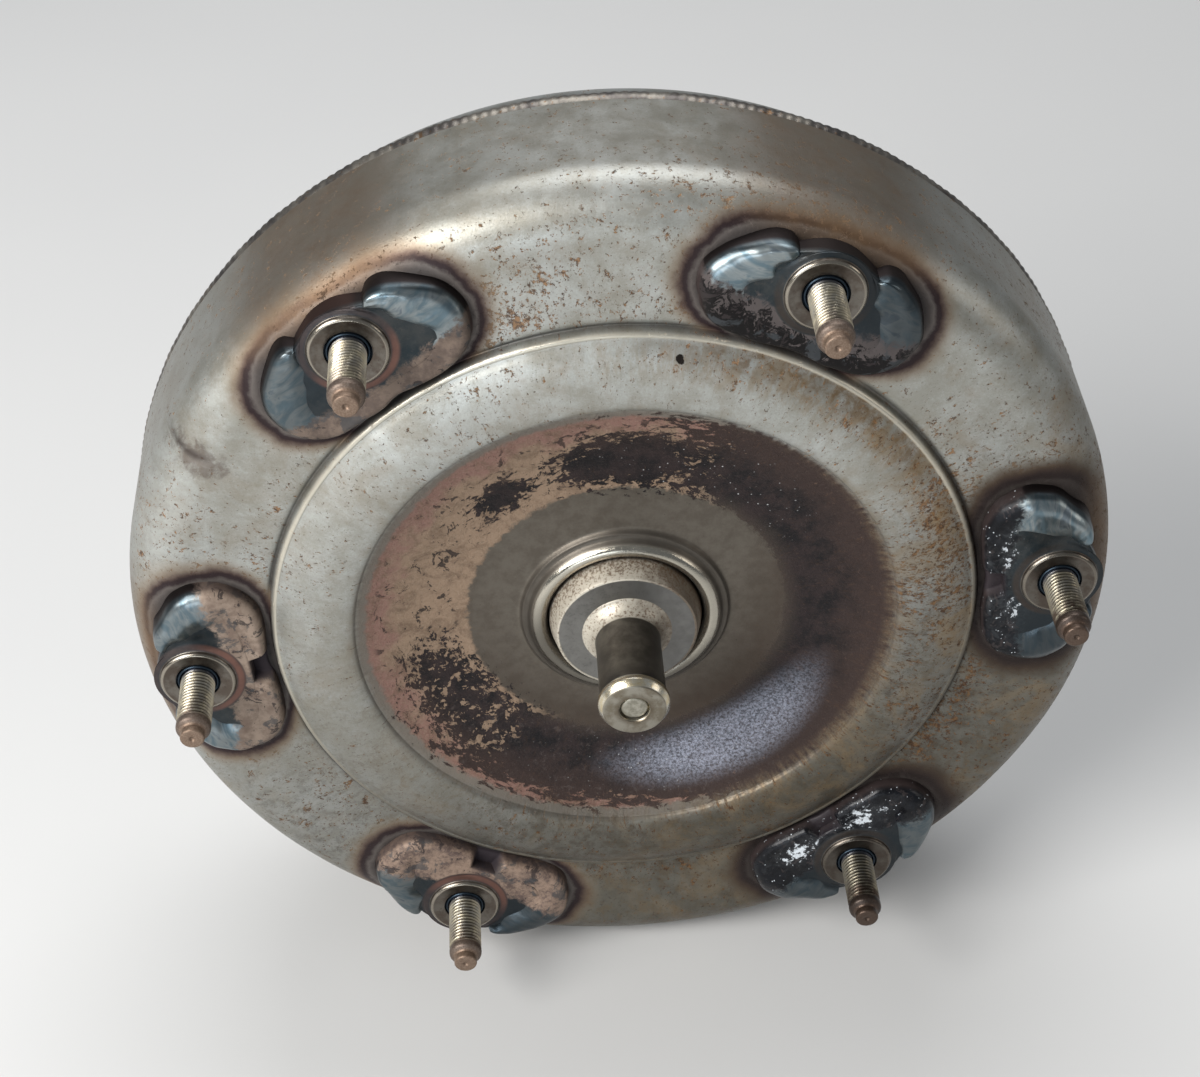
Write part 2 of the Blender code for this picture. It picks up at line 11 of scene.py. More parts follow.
import bpy
import numpy as np
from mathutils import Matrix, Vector


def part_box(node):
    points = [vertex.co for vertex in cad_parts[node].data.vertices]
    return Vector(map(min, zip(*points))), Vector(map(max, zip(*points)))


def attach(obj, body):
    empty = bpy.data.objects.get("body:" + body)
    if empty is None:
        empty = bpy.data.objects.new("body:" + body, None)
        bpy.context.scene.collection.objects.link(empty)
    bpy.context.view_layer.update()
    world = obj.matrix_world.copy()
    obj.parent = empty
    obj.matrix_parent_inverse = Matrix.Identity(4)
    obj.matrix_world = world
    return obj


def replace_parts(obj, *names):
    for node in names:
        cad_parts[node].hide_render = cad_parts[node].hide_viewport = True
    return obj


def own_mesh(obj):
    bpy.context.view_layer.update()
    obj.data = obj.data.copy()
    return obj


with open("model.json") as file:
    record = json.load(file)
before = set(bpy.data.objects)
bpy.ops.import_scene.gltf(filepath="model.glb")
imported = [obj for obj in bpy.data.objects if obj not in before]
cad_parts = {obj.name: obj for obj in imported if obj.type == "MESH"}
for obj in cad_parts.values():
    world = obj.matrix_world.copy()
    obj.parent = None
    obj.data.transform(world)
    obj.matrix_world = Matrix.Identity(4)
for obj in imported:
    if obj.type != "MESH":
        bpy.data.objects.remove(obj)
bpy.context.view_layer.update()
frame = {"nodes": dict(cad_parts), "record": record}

MM = 0.001


# ---- places read from the frame ----

def box_mm(node):
    low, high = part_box(node)
    return np.array(low) / MM, np.array(high) / MM


def centre_mm(node):
    low, high = box_mm(node)
    return (low + high) / 2


STUDS = (1, 2, 3, 4, 5, 6)
STUD_ANGLES = {}
for number in STUDS:
    stud_x, _, stud_z = centre_mm(f"stud_{number}")
    STUD_ANGLES[number] = atan2(stud_z, stud_x)
STUD_CIRCLE_R = hypot(*centre_mm("stud_1")[[0, 2]])
STUD_TIP_Y = box_mm("stud_1")[0][1]
COVER_R = box_mm("front_cover")[1][0]
COVER_REAR_Y = box_mm("front_cover")[1][1]
PILOT_TIP_Y = box_mm("pilot_boss")[0][1]


# ---- curves and meshes ----

def smooth(points, per_span=6, closed=False):
    """A Catmull-Rom curve through the points, which stay on it."""
    points = [np.array(point, float) for point in points]
    count = len(points)
    curve = []
    for i in range(count if closed else count - 1):
        if closed:
            a, b, c, d = (points[(i + k) % count] for k in (-1, 0, 1, 2))
        else:
            b, c = points[i], points[i + 1]
            a = points[i - 1] if i else 2 * b - c
            d = points[i + 2] if i + 2 < count else 2 * c - b
        for t in np.arange(per_span) / per_span:
            curve.append(0.5 * (2 * b + (c - a) * t + (2 * a - 5 * b + 4 * c - d) * t * t
                                + (3 * b - a - 3 * c + d) * t ** 3))
    if not closed:
        curve.append(points[-1])
    return [tuple(point) for point in curve]


def arc(centre, radii, start_deg, end_deg, steps):
    angles = np.radians(np.linspace(start_deg, end_deg, steps + 1))
    return [(centre[0] + radii[0] * cos(a), centre[1] + radii[1] * sin(a)) for a in angles]


def smoothstep(low, high, value):
    t = np.clip((value - low) / (high - low), 0, 1)
    return t * t * (3 - 2 * t)


def lumps(points, size, seed, octaves=2):
    """Soft relief between -1 and 1: sums of sines in seeded random directions, the same on every run."""
    random = np.random.default_rng(seed)
    total = np.zeros(len(points))
    for octave in range(octaves):
        for _ in range(6):
            direction = random.normal(size=3)
            direction *= 2 * pi / (np.linalg.norm(direction) * size / 2 ** octave)
            total += np.sin(points @ direction + random.uniform(0, 2 * pi)) / (3 * 1.6 ** octave)
    return total


def mesh_object(name, verts, faces, material, sharp_deg=38, body="housing"):
    mesh = bpy.data.meshes.new(name)
    mesh.from_pydata((np.asarray(verts) * MM).tolist(), [], faces)
    mesh.validate()
    mesh.materials.append(material)
    mesh.shade_smooth()
    mesh.set_sharp_from_angle(angle=radians(sharp_deg))
    obj = bpy.data.objects.new(name, mesh)
    bpy.context.scene.collection.objects.link(obj)
    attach(obj, body)
    return obj


def grid_faces(rows, columns, close_rows=False):
    """Quads of a grid whose columns wrap round. Rows wrap too if close_rows is set."""
    faces = []
    for i in range(rows if close_rows else rows - 1):
        k = (i + 1) % rows
        for j in range(columns):
            n = (j + 1) % columns
            faces.append((i * columns + j, k * columns + j, k * columns + n, i * columns + n))
    return faces


def turned(name, profile, segments, material, shape=None, centre=(0.0, 0.0), sharp_deg=38):
    """Solid of revolution about Y, listed engine side first. A profile that ends on the axis is capped."""
    caps = [profile[0][0] < 1e-6, profile[-1][0] < 1e-6]
    ring = profile[1 if caps[0] else 0:-1 if caps[1] else None]
    angles = np.arange(segments) * 2 * pi / segments
    rows = [np.stack([r * np.cos(angles), np.full(segments, y), r * np.sin(angles)], 1) for r, y in ring]
    verts = np.concatenate(rows)
    if shape:
        verts = shape(verts)
    faces = grid_faces(len(ring), segments, not any(caps))
    if caps[0]:
        faces += [(len(verts), j, (j + 1) % segments) for j in range(segments)]
        verts = np.concatenate([verts, [(0, profile[0][1], 0)]])
    if caps[1]:
        last = (len(ring) - 1) * segments
        faces += [(last + j, len(verts), last + (j + 1) % segments) for j in range(segments)]
        verts = np.concatenate([verts, [(0, profile[-1][1], 0)]])
    verts = verts + np.array([centre[0], 0, centre[1]])
    return mesh_object(name, verts, faces, material, sharp_deg)


# ---- shader graphs ----

def operator(operation, swapped=False):
    """A method of Field that makes one Math node."""
    def method(self, *others):
        return self.graph.math(operation, *((*others, self) if swapped else (self, *others)))
    return method


class Field:
    """A shader value that takes part in ordinary sums."""

    __add__ = __radd__ = operator("ADD")
    __mul__ = __rmul__ = operator("MULTIPLY")
    __sub__ = operator("SUBTRACT")
    __rsub__ = operator("SUBTRACT", swapped=True)
    __truediv__ = operator("DIVIDE")
    __pow__ = operator("POWER")
    __abs__ = operator("ABSOLUTE")

    def __init__(self, graph, socket):
        self.graph = graph
        self.socket = socket

    def between(self, low, high):
        """0 below low, 1 above high, smooth in between. Reversed limits fall instead."""
        node = self.graph.node("ShaderNodeMapRange")
        node.interpolation_type = "SMOOTHSTEP"
        self.graph.feed(node.inputs["Value"], self)
        ends = (low, high, 0.0, 1.0) if low < high else (high, low, 1.0, 0.0)
        for socket_name, value in zip(("From Min", "From Max", "To Min", "To Max"), ends):
            node.inputs[socket_name].default_value = value
        return Field(self.graph, node.outputs["Result"])

    def band(self, low, high, soft):
        """1 from low to high, with soft edges."""
        return self.between(low - soft, low + soft) * self.between(high + soft, high - soft)


class Graph:
    """A material in the making. Positions are in millimetres in the piece's own frame."""

    def __init__(self, name):
        self.material = bpy.data.materials.new(name)
        self.material.use_nodes = True
        self.tree = self.material.node_tree
        self.shader = self.tree.nodes["Principled BSDF"]
        scale = self.node("ShaderNodeVectorMath")
        scale.operation = "SCALE"
        scale.inputs["Scale"].default_value = 1 / MM
        self.tree.links.new(self.node("ShaderNodeTexCoord").outputs["Object"], scale.inputs[0])
        self.position = scale.outputs[0]
        split = self.node("ShaderNodeSeparateXYZ")
        self.tree.links.new(self.position, split.inputs[0])
        self.x, self.y, self.z = (Field(self, output) for output in split.outputs)

    def node(self, kind):
        return self.tree.nodes.new(kind)

    def feed(self, socket, value):
        if isinstance(value, Field):
            value = value.socket
        if isinstance(value, bpy.types.NodeSocket):
            self.tree.links.new(value, socket)
        elif isinstance(value, tuple) and len(socket.default_value) == 4:
            socket.default_value = (*value, 1.0)
        else:
            socket.default_value = value

    def math(self, operation, *values, clamp=False):
        node = self.node("ShaderNodeMath")
        node.operation = operation
        node.use_clamp = clamp
        for socket, value in zip(node.inputs, values):
            self.feed(socket, value)
        return Field(self, node.outputs[0])

    def largest(self, *values):
        result = values[0]
        for value in values[1:]:
            result = self.math("MAXIMUM", result, value)
        return result

    def polar(self, x=None, z=None):
        """Radius and angle in degrees about the Y axis, seen from the engine side."""
        x, z = x or self.x, z or self.z
        return (x * x + z * z) ** 0.5, self.math("ARCTAN2", z, x) * degrees(1)

    def vector(self, x, y, z):
        node = self.node("ShaderNodeCombineXYZ")
        for socket, value in zip(node.inputs, (x, y, z)):
            self.feed(socket, value)
        return node.outputs[0]

    def round_vector(self, radius, theta, along, across):
        """Coordinates that follow the rim without a seam. along is in features per radian of turn, and
        across is in features per millimetre of radius."""
        turn = theta * radians(1)
        east, north = self.math("COSINE", turn), self.math("SINE", turn)
        return self.vector(east * along, north * along, radius * across)

    def noise(self, scale, detail=3.0, roughness=0.55, distortion=0.0, at=None):
        """Noise from 0 to 1. scale is in features per millimetre."""
        node = self.node("ShaderNodeTexNoise")
        self.feed(node.inputs["Vector"], at or self.position)
        settings = {"Scale": scale, "Detail": detail, "Roughness": roughness, "Distortion": distortion}
        for socket_name, value in settings.items():
            node.inputs[socket_name].default_value = value
        return Field(self, node.outputs["Fac"])

    def crystals(self, scale, smallest, largest, chance):
        """Small dots at scattered points, on a share of the surface."""
        node = self.node("ShaderNodeTexVoronoi")
        self.feed(node.inputs["Vector"], self.position)
        node.inputs["Scale"].default_value = scale
        dots = Field(self, node.outputs["Distance"]).between(largest, smallest)
        return dots * self.noise(0.5, 2).between(*chance)

    def mix(self, share, first, second):
        node = self.node("ShaderNodeMix")
        node.data_type = "RGBA"
        self.feed(node.inputs["Factor"], share)
        self.feed(node.inputs[6], first)
        self.feed(node.inputs[7], second)
        return node.outputs[2]

    def coats(self, colour, *layers):
        """The colour with further coats over it. A layer is (share, colour)."""
        for share, coat in layers:
            colour = self.mix(share, colour, coat)
        return colour

    def ramp(self, value, stops):
        """Colour that depends on a value. A stop is (value, colour)."""
        low, high = stops[0][0], stops[-1][0]
        node = self.node("ShaderNodeValToRGB")
        self.feed(node.inputs["Fac"], (value - low) / (high - low))
        elements = node.color_ramp.elements
        while len(elements) < len(stops):
            elements.new(0.5)
        for element, (at, colour) in zip(elements, stops):
            element.position = (at - low) / (high - low)
            element.color = (*colour, 1.0)
        return node.outputs["Color"]

    def relief(self, *layers):
        """Bumps on top of each other. A layer is (value, height in millimetres of a value of 1, strength
        unless 1)."""
        normal = None
        for value, height, *strength in layers:
            node = self.node("ShaderNodeBump")
            node.inputs["Strength"].default_value = strength[0] if strength else 1.0
            node.inputs["Distance"].default_value = height * MM
            self.feed(node.inputs["Height"], value)
            if normal:
                self.feed(node.inputs["Normal"], normal)
            normal = node.outputs["Normal"]
        return normal

    def finish(self, colour, metallic, roughness, normal=None, specular=0.5):
        self.shader.inputs["Specular IOR Level"].default_value = specular
        self.feed(self.shader.inputs["Base Color"], colour)
        self.feed(self.shader.inputs["Metallic"], metallic)
        self.feed(self.shader.inputs["Roughness"], roughness)
        if normal:
            self.feed(self.shader.inputs["Normal"], normal)
        return self.material


# ---- colours, linear ----

STEEL_LIGHT = (0.462, 0.475, 0.456)
STEEL_DARK = (0.315, 0.31, 0.275)
GRIME_AND_SHADE = (0.070, 0.062, 0.047)
VEIL = (0.20, 0.145, 0.085)
RUST = (0.165, 0.090, 0.040)
RUST_PALE = (0.240, 0.130, 0.058)
RUST_DARK = (0.050, 0.024, 0.013)
# Dark for pits and the chip, and for painted shade in creases and crevices.
DIRT_AND_SHADE = (0.020, 0.016, 0.014)
TAN = (0.235, 0.165, 0.115)
TAN_DARK = (0.120, 0.080, 0.055)
PINK = (0.215, 0.122, 0.100)
FILM_GREY = (0.150, 0.138, 0.118)
VARNISH = (0.010, 0.009, 0.010)
UMBER = (0.025, 0.018, 0.018)
MAROON = (0.036, 0.024, 0.021)
BARE = (0.135, 0.120, 0.100)
BARE_DARK = (0.062, 0.048, 0.038)
PAINTED_SKY_SHEEN = (0.31, 0.33, 0.40)
BEAD_BLUE = (0.16, 0.225, 0.26)
BEAD_PALE = (0.32, 0.355, 0.36)
PLATE_BLUE = (0.032, 0.042, 0.048)
PAINTED_GLINT = (0.62, 0.66, 0.70)


# ---- weathered cover ----

HALO_HALF_WIDTH, HALO_HALF_HEIGHT, HALO_CENTRE_V, HALO_POWER = 35.3, 19.5, -6.0, 2.6
DENT_ANGLE, DENT_R = radians(150.8), 133.0
CHIP_X, CHIP_Z, CHIP_R = 13.3, 94.6, 1.35


def pad_coordinates(g):
    """u and v of the nearest pad, so that one formula draws the heat marks round all six."""
    step = 360 / len(STUDS)
    turns = (g.theta - degrees(STUD_ANGLES[1])) / step
    from_stud = (turns - g.math("ROUND", turns)) * radians(step)
    return g.radius * g.math("SINE", from_stud) * -1, g.radius * g.math("COSINE", from_stud) - STUD_CIRCLE_R


def dent_coordinates(x, z):
    """Distances from the struck dent, outwards and along the rim."""
    return (x * cos(DENT_ANGLE) + z * sin(DENT_ANGLE) - DENT_R,
            x * sin(DENT_ANGLE) - z * cos(DENT_ANGLE))


def degrees_from(g, centre_deg):
    return g.math("WRAP", g.theta - centre_deg, 180.0, -180.0)


def patch(g, centre_r, centre_deg, half_r, half_deg, reach=1.0):
    """Positive inside an oval patch, falling through 0 at its edge."""
    turn, depth = degrees_from(g, centre_deg) / half_deg, (g.radius - centre_r) / half_r
    return (1.0 - (turn ** 2.0 + depth ** 2.0) ** 0.5) * reach


def rust_specks(g, amount):
    """Small ragged rust spots, drawn out along the radius. amount is from 0, none, to 1, many."""
    large = g.noise(1.0, 6, 0.78, 0.2, at=g.round_vector(g.radius + g.y, g.theta, 34.0, 0.24))
    small = g.noise(1.0, 3, 0.80, at=g.round_vector(g.radius + g.y, g.theta, 95.0, 0.62))
    share = g.math("MULTIPLY", amount, 0.17)
    return g.largest((large - 0.70 + share).between(0.0, 0.04), (small - 0.715 + share).between(0.0, 0.05))


def stained_steel(g):
    tone = (g.mottle * 0.45 + g.broad * 0.40 + g.grain * 0.15).between(0.38, 0.60)
    # Painted shade: a darker sector at the lower right, more on the rim and on the ridge.
    below = g.theta.between(-20.0, -50.0)
    on_rim, on_ridge = g.radius.between(100.0, 104.0), g.radius.band(80.0, 100.0, 3.0)
    lower_right_shade = 0.09 + on_rim * 0.08 * (1.0 - below) + on_ridge * below * 0.08
    lower_right_shade = g.theta.band(-125.0, 14.0, 20.0) * lower_right_shade
    stains = g.noise(0.050, 6, 0.68, 0.7).between(0.46, 0.62)
    dust = g.noise(0.26, 7, 0.78, 0.3).between(0.47, 0.62) * (0.08 + g.grime * 0.50)
    soil = g.noise(0.85, 5, 0.76, 0.3).between(0.555, 0.640) * (0.10 + g.grime * 0.55)
    return g.coats(
        g.mix(tone, STEEL_DARK, STEEL_LIGHT),
        (g.streaks.between(0.48, 0.68) * (0.12 + g.grime * 0.3), (0.20, 0.18, 0.14)),
        (stains * 0.22, (0.215, 0.185, 0.135)),
        # Dirt with painted shade over it, darkest towards the lower right.
        (g.grime * (0.74 + (g.mottle - 0.5) * 0.8) + lower_right_shade, GRIME_AND_SHADE),
        (dust, g.mix(g.broad.between(0.4, 0.6), (0.150, 0.112, 0.070), (0.075, 0.060, 0.046))),
        (soil, (0.070, 0.056, 0.043)))


def film_mask(g):
    """Where the dish is burnt dark: a sector over the right and the bottom, ragged at its two ends."""
    flakes = g.noise(1.0, 7, 0.70, 0.5, at=g.round_vector(g.radius, g.theta, 13.0, 0.44))
    fine_flakes = g.noise(1.0, 4, 0.65, at=g.round_vector(g.radius, g.theta, 48.0, 1.1))
    across = 1.0 - abs(degrees_from(g, -31.0)) / 112.0
    g.in_sector = across.between(0.10, 0.30)
    sector = g.math("MINIMUM", across * 2.6, (g.radius - 46.0) * 0.10)
    film = g.largest(sector, patch(g, 57.0, 88.0, 11.0, 25.0, 1.1), patch(g, 57.0, 127.0, 6.0, 10.0, 0.8),
                     patch(g, 58.0, -146.0, 11.5, 26.0, 1.2))
    ragged = (flakes - 0.5) * 3.0 + (fine_flakes - 0.5) * 1.1
    mask = (film + ragged * (1.0 - g.in_sector * 0.80)).between(-0.02, 0.12)
    mask = g.largest(mask, g.in_sector * g.radius.between(42.0, 54.0))
    right = degrees_from(g, 10.0).band(-75.0, 60.0, 25.0)
    frayed = (74.0 - g.radius) * 0.09 + (flakes - 0.5) * 2.6 + right * 0.8
    spots = g.noise(0.21, 5, 0.72, 0.8).between(0.578, 0.600) * g.radius.band(49.0, 73.0, 1.5)
    mask = g.largest(mask * frayed.between(-0.05, 0.10), spots * 0.85)
    share = patch(g, 60.0, -152.0, 15.0, 34.0).between(0.0, 0.7)
    islands = (g.noise(0.40, 4, 0.60, 0.3) + share * 0.045).between(0.600, 0.622) * share.between(0.0, 0.2)
    return mask * (1.0 - islands * 0.92)


def film_colour(g):
    """Burnt film with grit, rust and ash in it, a painted speckled reflection of the sky at the lower right
    and small crystals.
    """
    outer = (g.radius + (g.mottle - 0.5) * 18.0).between(57.0, 73.0)
    toward_bare = g.in_sector * (g.radius + (g.mottle - 0.5) * 8.0).between(53.0, 42.0)
    rusty = g.noise(0.5, 6, 0.8).between(0.60, 0.68) * g.radius.between(62.0, 74.0)
    ash = g.noise(0.42, 5, 0.75, 0.4).between(0.55, 0.66) * degrees_from(g, -105.0).band(-50.0, 50.0, 20.0)
    # Painted reflection of the sky: a pale blue speckled sheen on the film at the lower right.
    sky_sheen = patch(g, 60.5, -58.0, 13.0, 45.0, 1.2).between(0.0, 0.80)
    speckle = g.noise(1.25, 3, 0.8).between(0.34, 0.66)
    frosted = g.largest(patch(g, 57.0, 66.0, 15.0, 45.0, 2.0), patch(g, 60.0, -75.0, 14.0, 60.0, 1.2))
    return g.coats(
        g.mix(g.mottle.between(0.38, 0.6), VARNISH, UMBER),
        (outer, MAROON),
        (toward_bare, BARE_DARK),
        (g.noise(1.5, 3, 0.75).between(0.50, 0.74) * 0.22, (0.090, 0.070, 0.064)),
        (rusty * 0.8, (0.125, 0.078, 0.055)),
        (ash * 0.32, (0.105, 0.088, 0.082)),
        (sky_sheen * (speckle * 0.75 + 0.13), PAINTED_SKY_SHEEN),
        (g.crystals(0.62, 0.09, 0.17, (0.49, 0.57)) * frosted.between(0.0, 1.0) * 0.9, (0.42, 0.42, 0.42)))


def dish_colour(g, mask, varnished):
    """Bare ring near the pilot, tan varnish on the left, and the burnt film round the rest."""
    bare = g.coats(
        BARE,
        (g.noise(0.22, 5, 0.7).between(0.36, 0.66) * 0.40, BARE_DARK),
        # Darker towards the lower right with dirt and painted shade.
        (g.grime * g.radius.between(26.0, 46.0) * 0.8, (0.052, 0.037, 0.029)))
    tan = g.coats(
        TAN,
        (((g.radius - 66.0) * 0.11 + (g.mottle - 0.5) * 2.6 + 0.1).between(0.0, 0.8), PINK),
        (g.noise(0.14, 6, 0.75, 1.2).between(0.44, 0.66) * 0.75, TAN_DARK),
        (g.grain.between(0.45, 0.7) * 0.35, (0.29, 0.23, 0.17)),
        (g.noise(0.35, 6, 0.75, 0.5).between(0.60, 0.66) * 0.7, (0.085, 0.055, 0.042)),
        ((g.radius + (g.flakes - 0.5) * 5.0).between(74.3, 76.0) * 0.9, FILM_GREY))
    return g.coats(
        bare,
        (varnished * (1.0 - g.in_sector * g.radius.between(70.0, 62.0)), tan),
        (mask, film_colour(g)))


def rusted(g, colour, on_dish):
    """Rust on the ridge and the rim, most at the right and just inside the bead. Pits and a lost chip."""
    heavy = g.theta.band(-80.0, 40.0, 35.0)
    under_bead = g.radius.band(90.0, 100.5, 4.0) * g.theta.band(5.0, 90.0, 25.0)
    beside_bead = g.radius.band(103.5, 111.0, 3.0)
    at_top = g.theta.band(62.0, 125.0, 18.0) * g.radius.band(106.0, 142.0, 6.0)
    amount = 0.52 + heavy * 0.24 + under_bead * 0.26 + beside_bead * 0.22 + at_top * 0.22
    g.rust = rust_specks(g, amount + (g.broad - 0.5) * 1.2) * (1.0 - on_dish * 0.9)
    g.veil = g.noise(0.055, 6, 0.7, 0.8).between(0.46, 0.68) * (0.25 + heavy * 0.30 + under_bead * 0.40)
    in_corner = g.radius.between(89.0, 98.0) * g.radius.between(101.2, 100.4) * g.theta.band(30.0, 80.0, 12.0)
    ochre = in_corner * (g.flakes * 0.6 + g.mottle * 0.4).between(0.42, 0.60)
    edge = g.radius.band(75.5, 80.5, 1.8) * (g.streaks * 0.6 + g.mottle * 0.4).between(0.36, 0.62)
    edge_colour = g.mix(g.grain.between(0.4, 0.6), (0.17, 0.135, 0.090), (0.12, 0.075, 0.045))
    # Rust paler towards the upper left and darker towards the lower right, following the dirt and painted
    # shade mask.
    rust_by_shade = g.mix(g.grime.between(0.1, 0.6), RUST_PALE, RUST)
    pits = (g.noise(0.70, 4, 0.8) + g.grime * 0.012).between(0.690, 0.725)
    from_chip = ((g.x - CHIP_X) ** 2.0 + (g.z - CHIP_Z) ** 2.0) ** 0.5 + (g.flakes - 0.5) * 3.0
    return g.coats(
        colour,
        (g.veil * (1.0 - on_dish), VEIL),
        (under_bead * g.streaks.between(0.42, 0.60) * (0.22 + g.mottle * 0.5), (0.265, 0.185, 0.100)),
        (ochre * 0.80, (0.165, 0.103, 0.048)),
        (edge * (heavy * 0.50 + 0.10), edge_colour),
        (g.rust * 0.9, g.mix(g.noise(0.8, 4, 0.7).between(0.38, 0.60), rust_by_shade, RUST_DARK)),
        (pits * 0.8, DIRT_AND_SHADE),
        (from_chip.between(CHIP_R + 0.15, CHIP_R - 0.15), DIRT_AND_SHADE))


def marked(g, colour):
    """Smoky stain at the dent with painted shade along its bend, a painted highlight and shade on the bead,
    painted shade in the crease beside it, on the lip's lower part and in its groove, and a painted shadow in
    the crevice round the pilot.
    """
    along, across = dent_coordinates(g.x, g.z)
    from_dent = (((along + 1.0) / 9.0) ** 2.0 + ((across + 2.5) / 5.0) ** 2.0) ** 0.5
    smoke = (from_dent + (g.flakes - 0.5) * 3.0).between(1.30, 0.30)
    bend = abs(across + 2.4 - (along - 2.0) ** 2.0 * 0.04) + (g.flakes - 0.5) * 1.2
    crease = g.radius.band(102.1, 103.4, 0.5) * (0.45 + g.broad * 0.6)
    g.bead = g.radius.band(100.5, 101.7, 0.35)
    # Painted highlight on the bead towards the upper left, painted shade on it towards the lower right.
    bead_lit_and_shaded = g.mix(g.grime.between(0.15, 0.75), (0.56, 0.52, 0.43), (0.125, 0.112, 0.090))
    g.lip = g.radius.band(23.3, 27.4, 0.5)
    lower_lip = g.radius.band(22.0, 29.0, 1.0) * (g.z * -1 - g.x * 0.3).between(-6.0, 16.0)
    return g.coats(
        colour,
        (smoke * 0.70, (0.110, 0.083, 0.068)),
        # Painted shade along the bend of the dent.
        (bend.between(2.0, -0.2) * along.band(-2.5, 8.0, 3.5) * 0.8, (0.040, 0.030, 0.027)),
        # Painted shade in the crease beside the bead.
        (crease, DIRT_AND_SHADE),
        (g.bead * 0.75, bead_lit_and_shaded),
        (g.lip * 0.9, (0.46, 0.43, 0.365)),
        # Painted shade in the groove outside the lip.
        (g.radius.band(27.6, 30.6, 0.4) * 0.6, (0.070, 0.062, 0.053)),
        # Painted shade over the lower part of the lip, so that its upper part reads as the lit side.
        (lower_lip * 0.72, (0.060, 0.054, 0.046)),
        # Painted shadow in the crevice between the lip and the pilot.
        (g.radius.between(22.9, 22.55), DIRT_AND_SHADE))


def heat_marked(g, colour):
    """Heat marks round the pads: a dark double contour, brown, then gold that fades out. The rim's rounding
    and side wall darker.
    """
    u, v = pad_coordinates(g)
    wobble = (g.noise(0.06, 3) - 0.5) * 0.16 + (g.flakes - 0.5) * 0.07
    sideways = abs(u / HALO_HALF_WIDTH) ** HALO_POWER
    upwards = abs((v - HALO_CENTRE_V) / HALO_HALF_HEIGHT) ** HALO_POWER
    reach = (sideways + upwards) ** (1 / HALO_POWER) + wobble
    halo_colour = g.ramp(reach, [
        (0.80, (0.028, 0.025, 0.025)), (0.90, (0.070, 0.060, 0.056)), (0.94, (0.115, 0.100, 0.092)),
        (0.975, (0.034, 0.024, 0.025)), (1.00, (0.030, 0.020, 0.021)), (1.035, (0.080, 0.052, 0.042)),
        (1.09, (0.175, 0.122, 0.078)), (1.24, (0.30, 0.255, 0.18))])
    soot = g.theta.band(-78.0, 30.0, 12.0)
    g.halo = (reach - soot * 0.07).between(1.22, 1.00) * g.radius.between(101.4, 102.6)
    burnt_rim = v.between(5.0, 15.0) * abs(u).between(40.0, 14.0) * (0.62 + (g.mottle - 0.5) * 1.1)
    return g.coats(
        colour,
        (g.halo, g.mix(soot * 0.74 + g.grime * 0.1, halo_colour, (0.023, 0.017, 0.015))),
        (burnt_rim, (0.155, 0.095, 0.052)),
        # Darker over the rim's rounding and side wall.
        (g.y.between(9.0, 26.0) * 0.35 * (0.6 + g.broad * 0.8), (0.10, 0.085, 0.065)))


def cover_material():
    g = Graph("cover_steel")
    g.radius, g.theta = g.polar()
    g.broad, g.mottle, g.grain = g.noise(0.020, 3), g.noise(0.13, 6, 0.66), g.noise(1.7, 4, 0.65)
    g.flakes = g.noise(0.30, 7, 0.68, 0.4)
    g.streaks = g.noise(1.0, 4, 0.65, at=g.round_vector(g.radius, g.theta, 42.0, 0.13))
    # Grime and painted shade grow from none at the upper left, the lit side, to most at the lower right, with
    # little at the upper right.
    g.grime = (0.5 - g.math("COSINE", (g.theta - 118.0) * radians(1)) * 0.5) ** 1.1
    g.grime = g.grime * (1.0 - g.theta.band(28.0, 88.0, 16.0) * 0.88)
    on_dish = (g.radius + (g.streaks - 0.5) * 4.0).between(79.6, 76.6)
    varnished = (g.radius + (g.flakes - 0.5) * 6.0).between(45.2, 46.6)
    mask = film_mask(g)
    colour = g.mix(on_dish, stained_steel(g), dish_colour(g, mask, varnished))
    colour = heat_marked(g, marked(g, rusted(g, colour, on_dish)))
    coated = on_dish * g.largest(varnished * (1.0 - g.in_sector), mask)
    metal = (1.0 - coated) * (1.0 - g.rust * 0.85) * (1.0 - g.halo * 0.45) * (1.0 - g.veil * 0.5)
    metallic = g.math("ADD", metal * 0.72, g.lip * 0.22, clamp=True)
    roughness = 0.41 + (g.mottle - 0.5) * 0.22 + g.rust * 0.35 + coated * 0.06 - mask * on_dish * 0.12
    roughness = roughness - g.lip * 0.25 - g.bead * (0.10 - g.grime * 0.22)
    relief = g.relief(
        (g.grain, 0.045),
        (g.flakes.between(0.42, 0.58) * on_dish * varnished, 0.06),
        (g.noise(1.3, 3, 0.7) * mask * on_dish, 0.16),
        (g.streaks * g.radius.band(74.0, 90.0, 4.0), 0.10),
        (g.rust, -0.05),
        (g.noise(0.035, 3), 0.55, 0.6))
    return g.finish(colour, metallic, roughness, relief, specular=0.12)


# ---- front cover ----

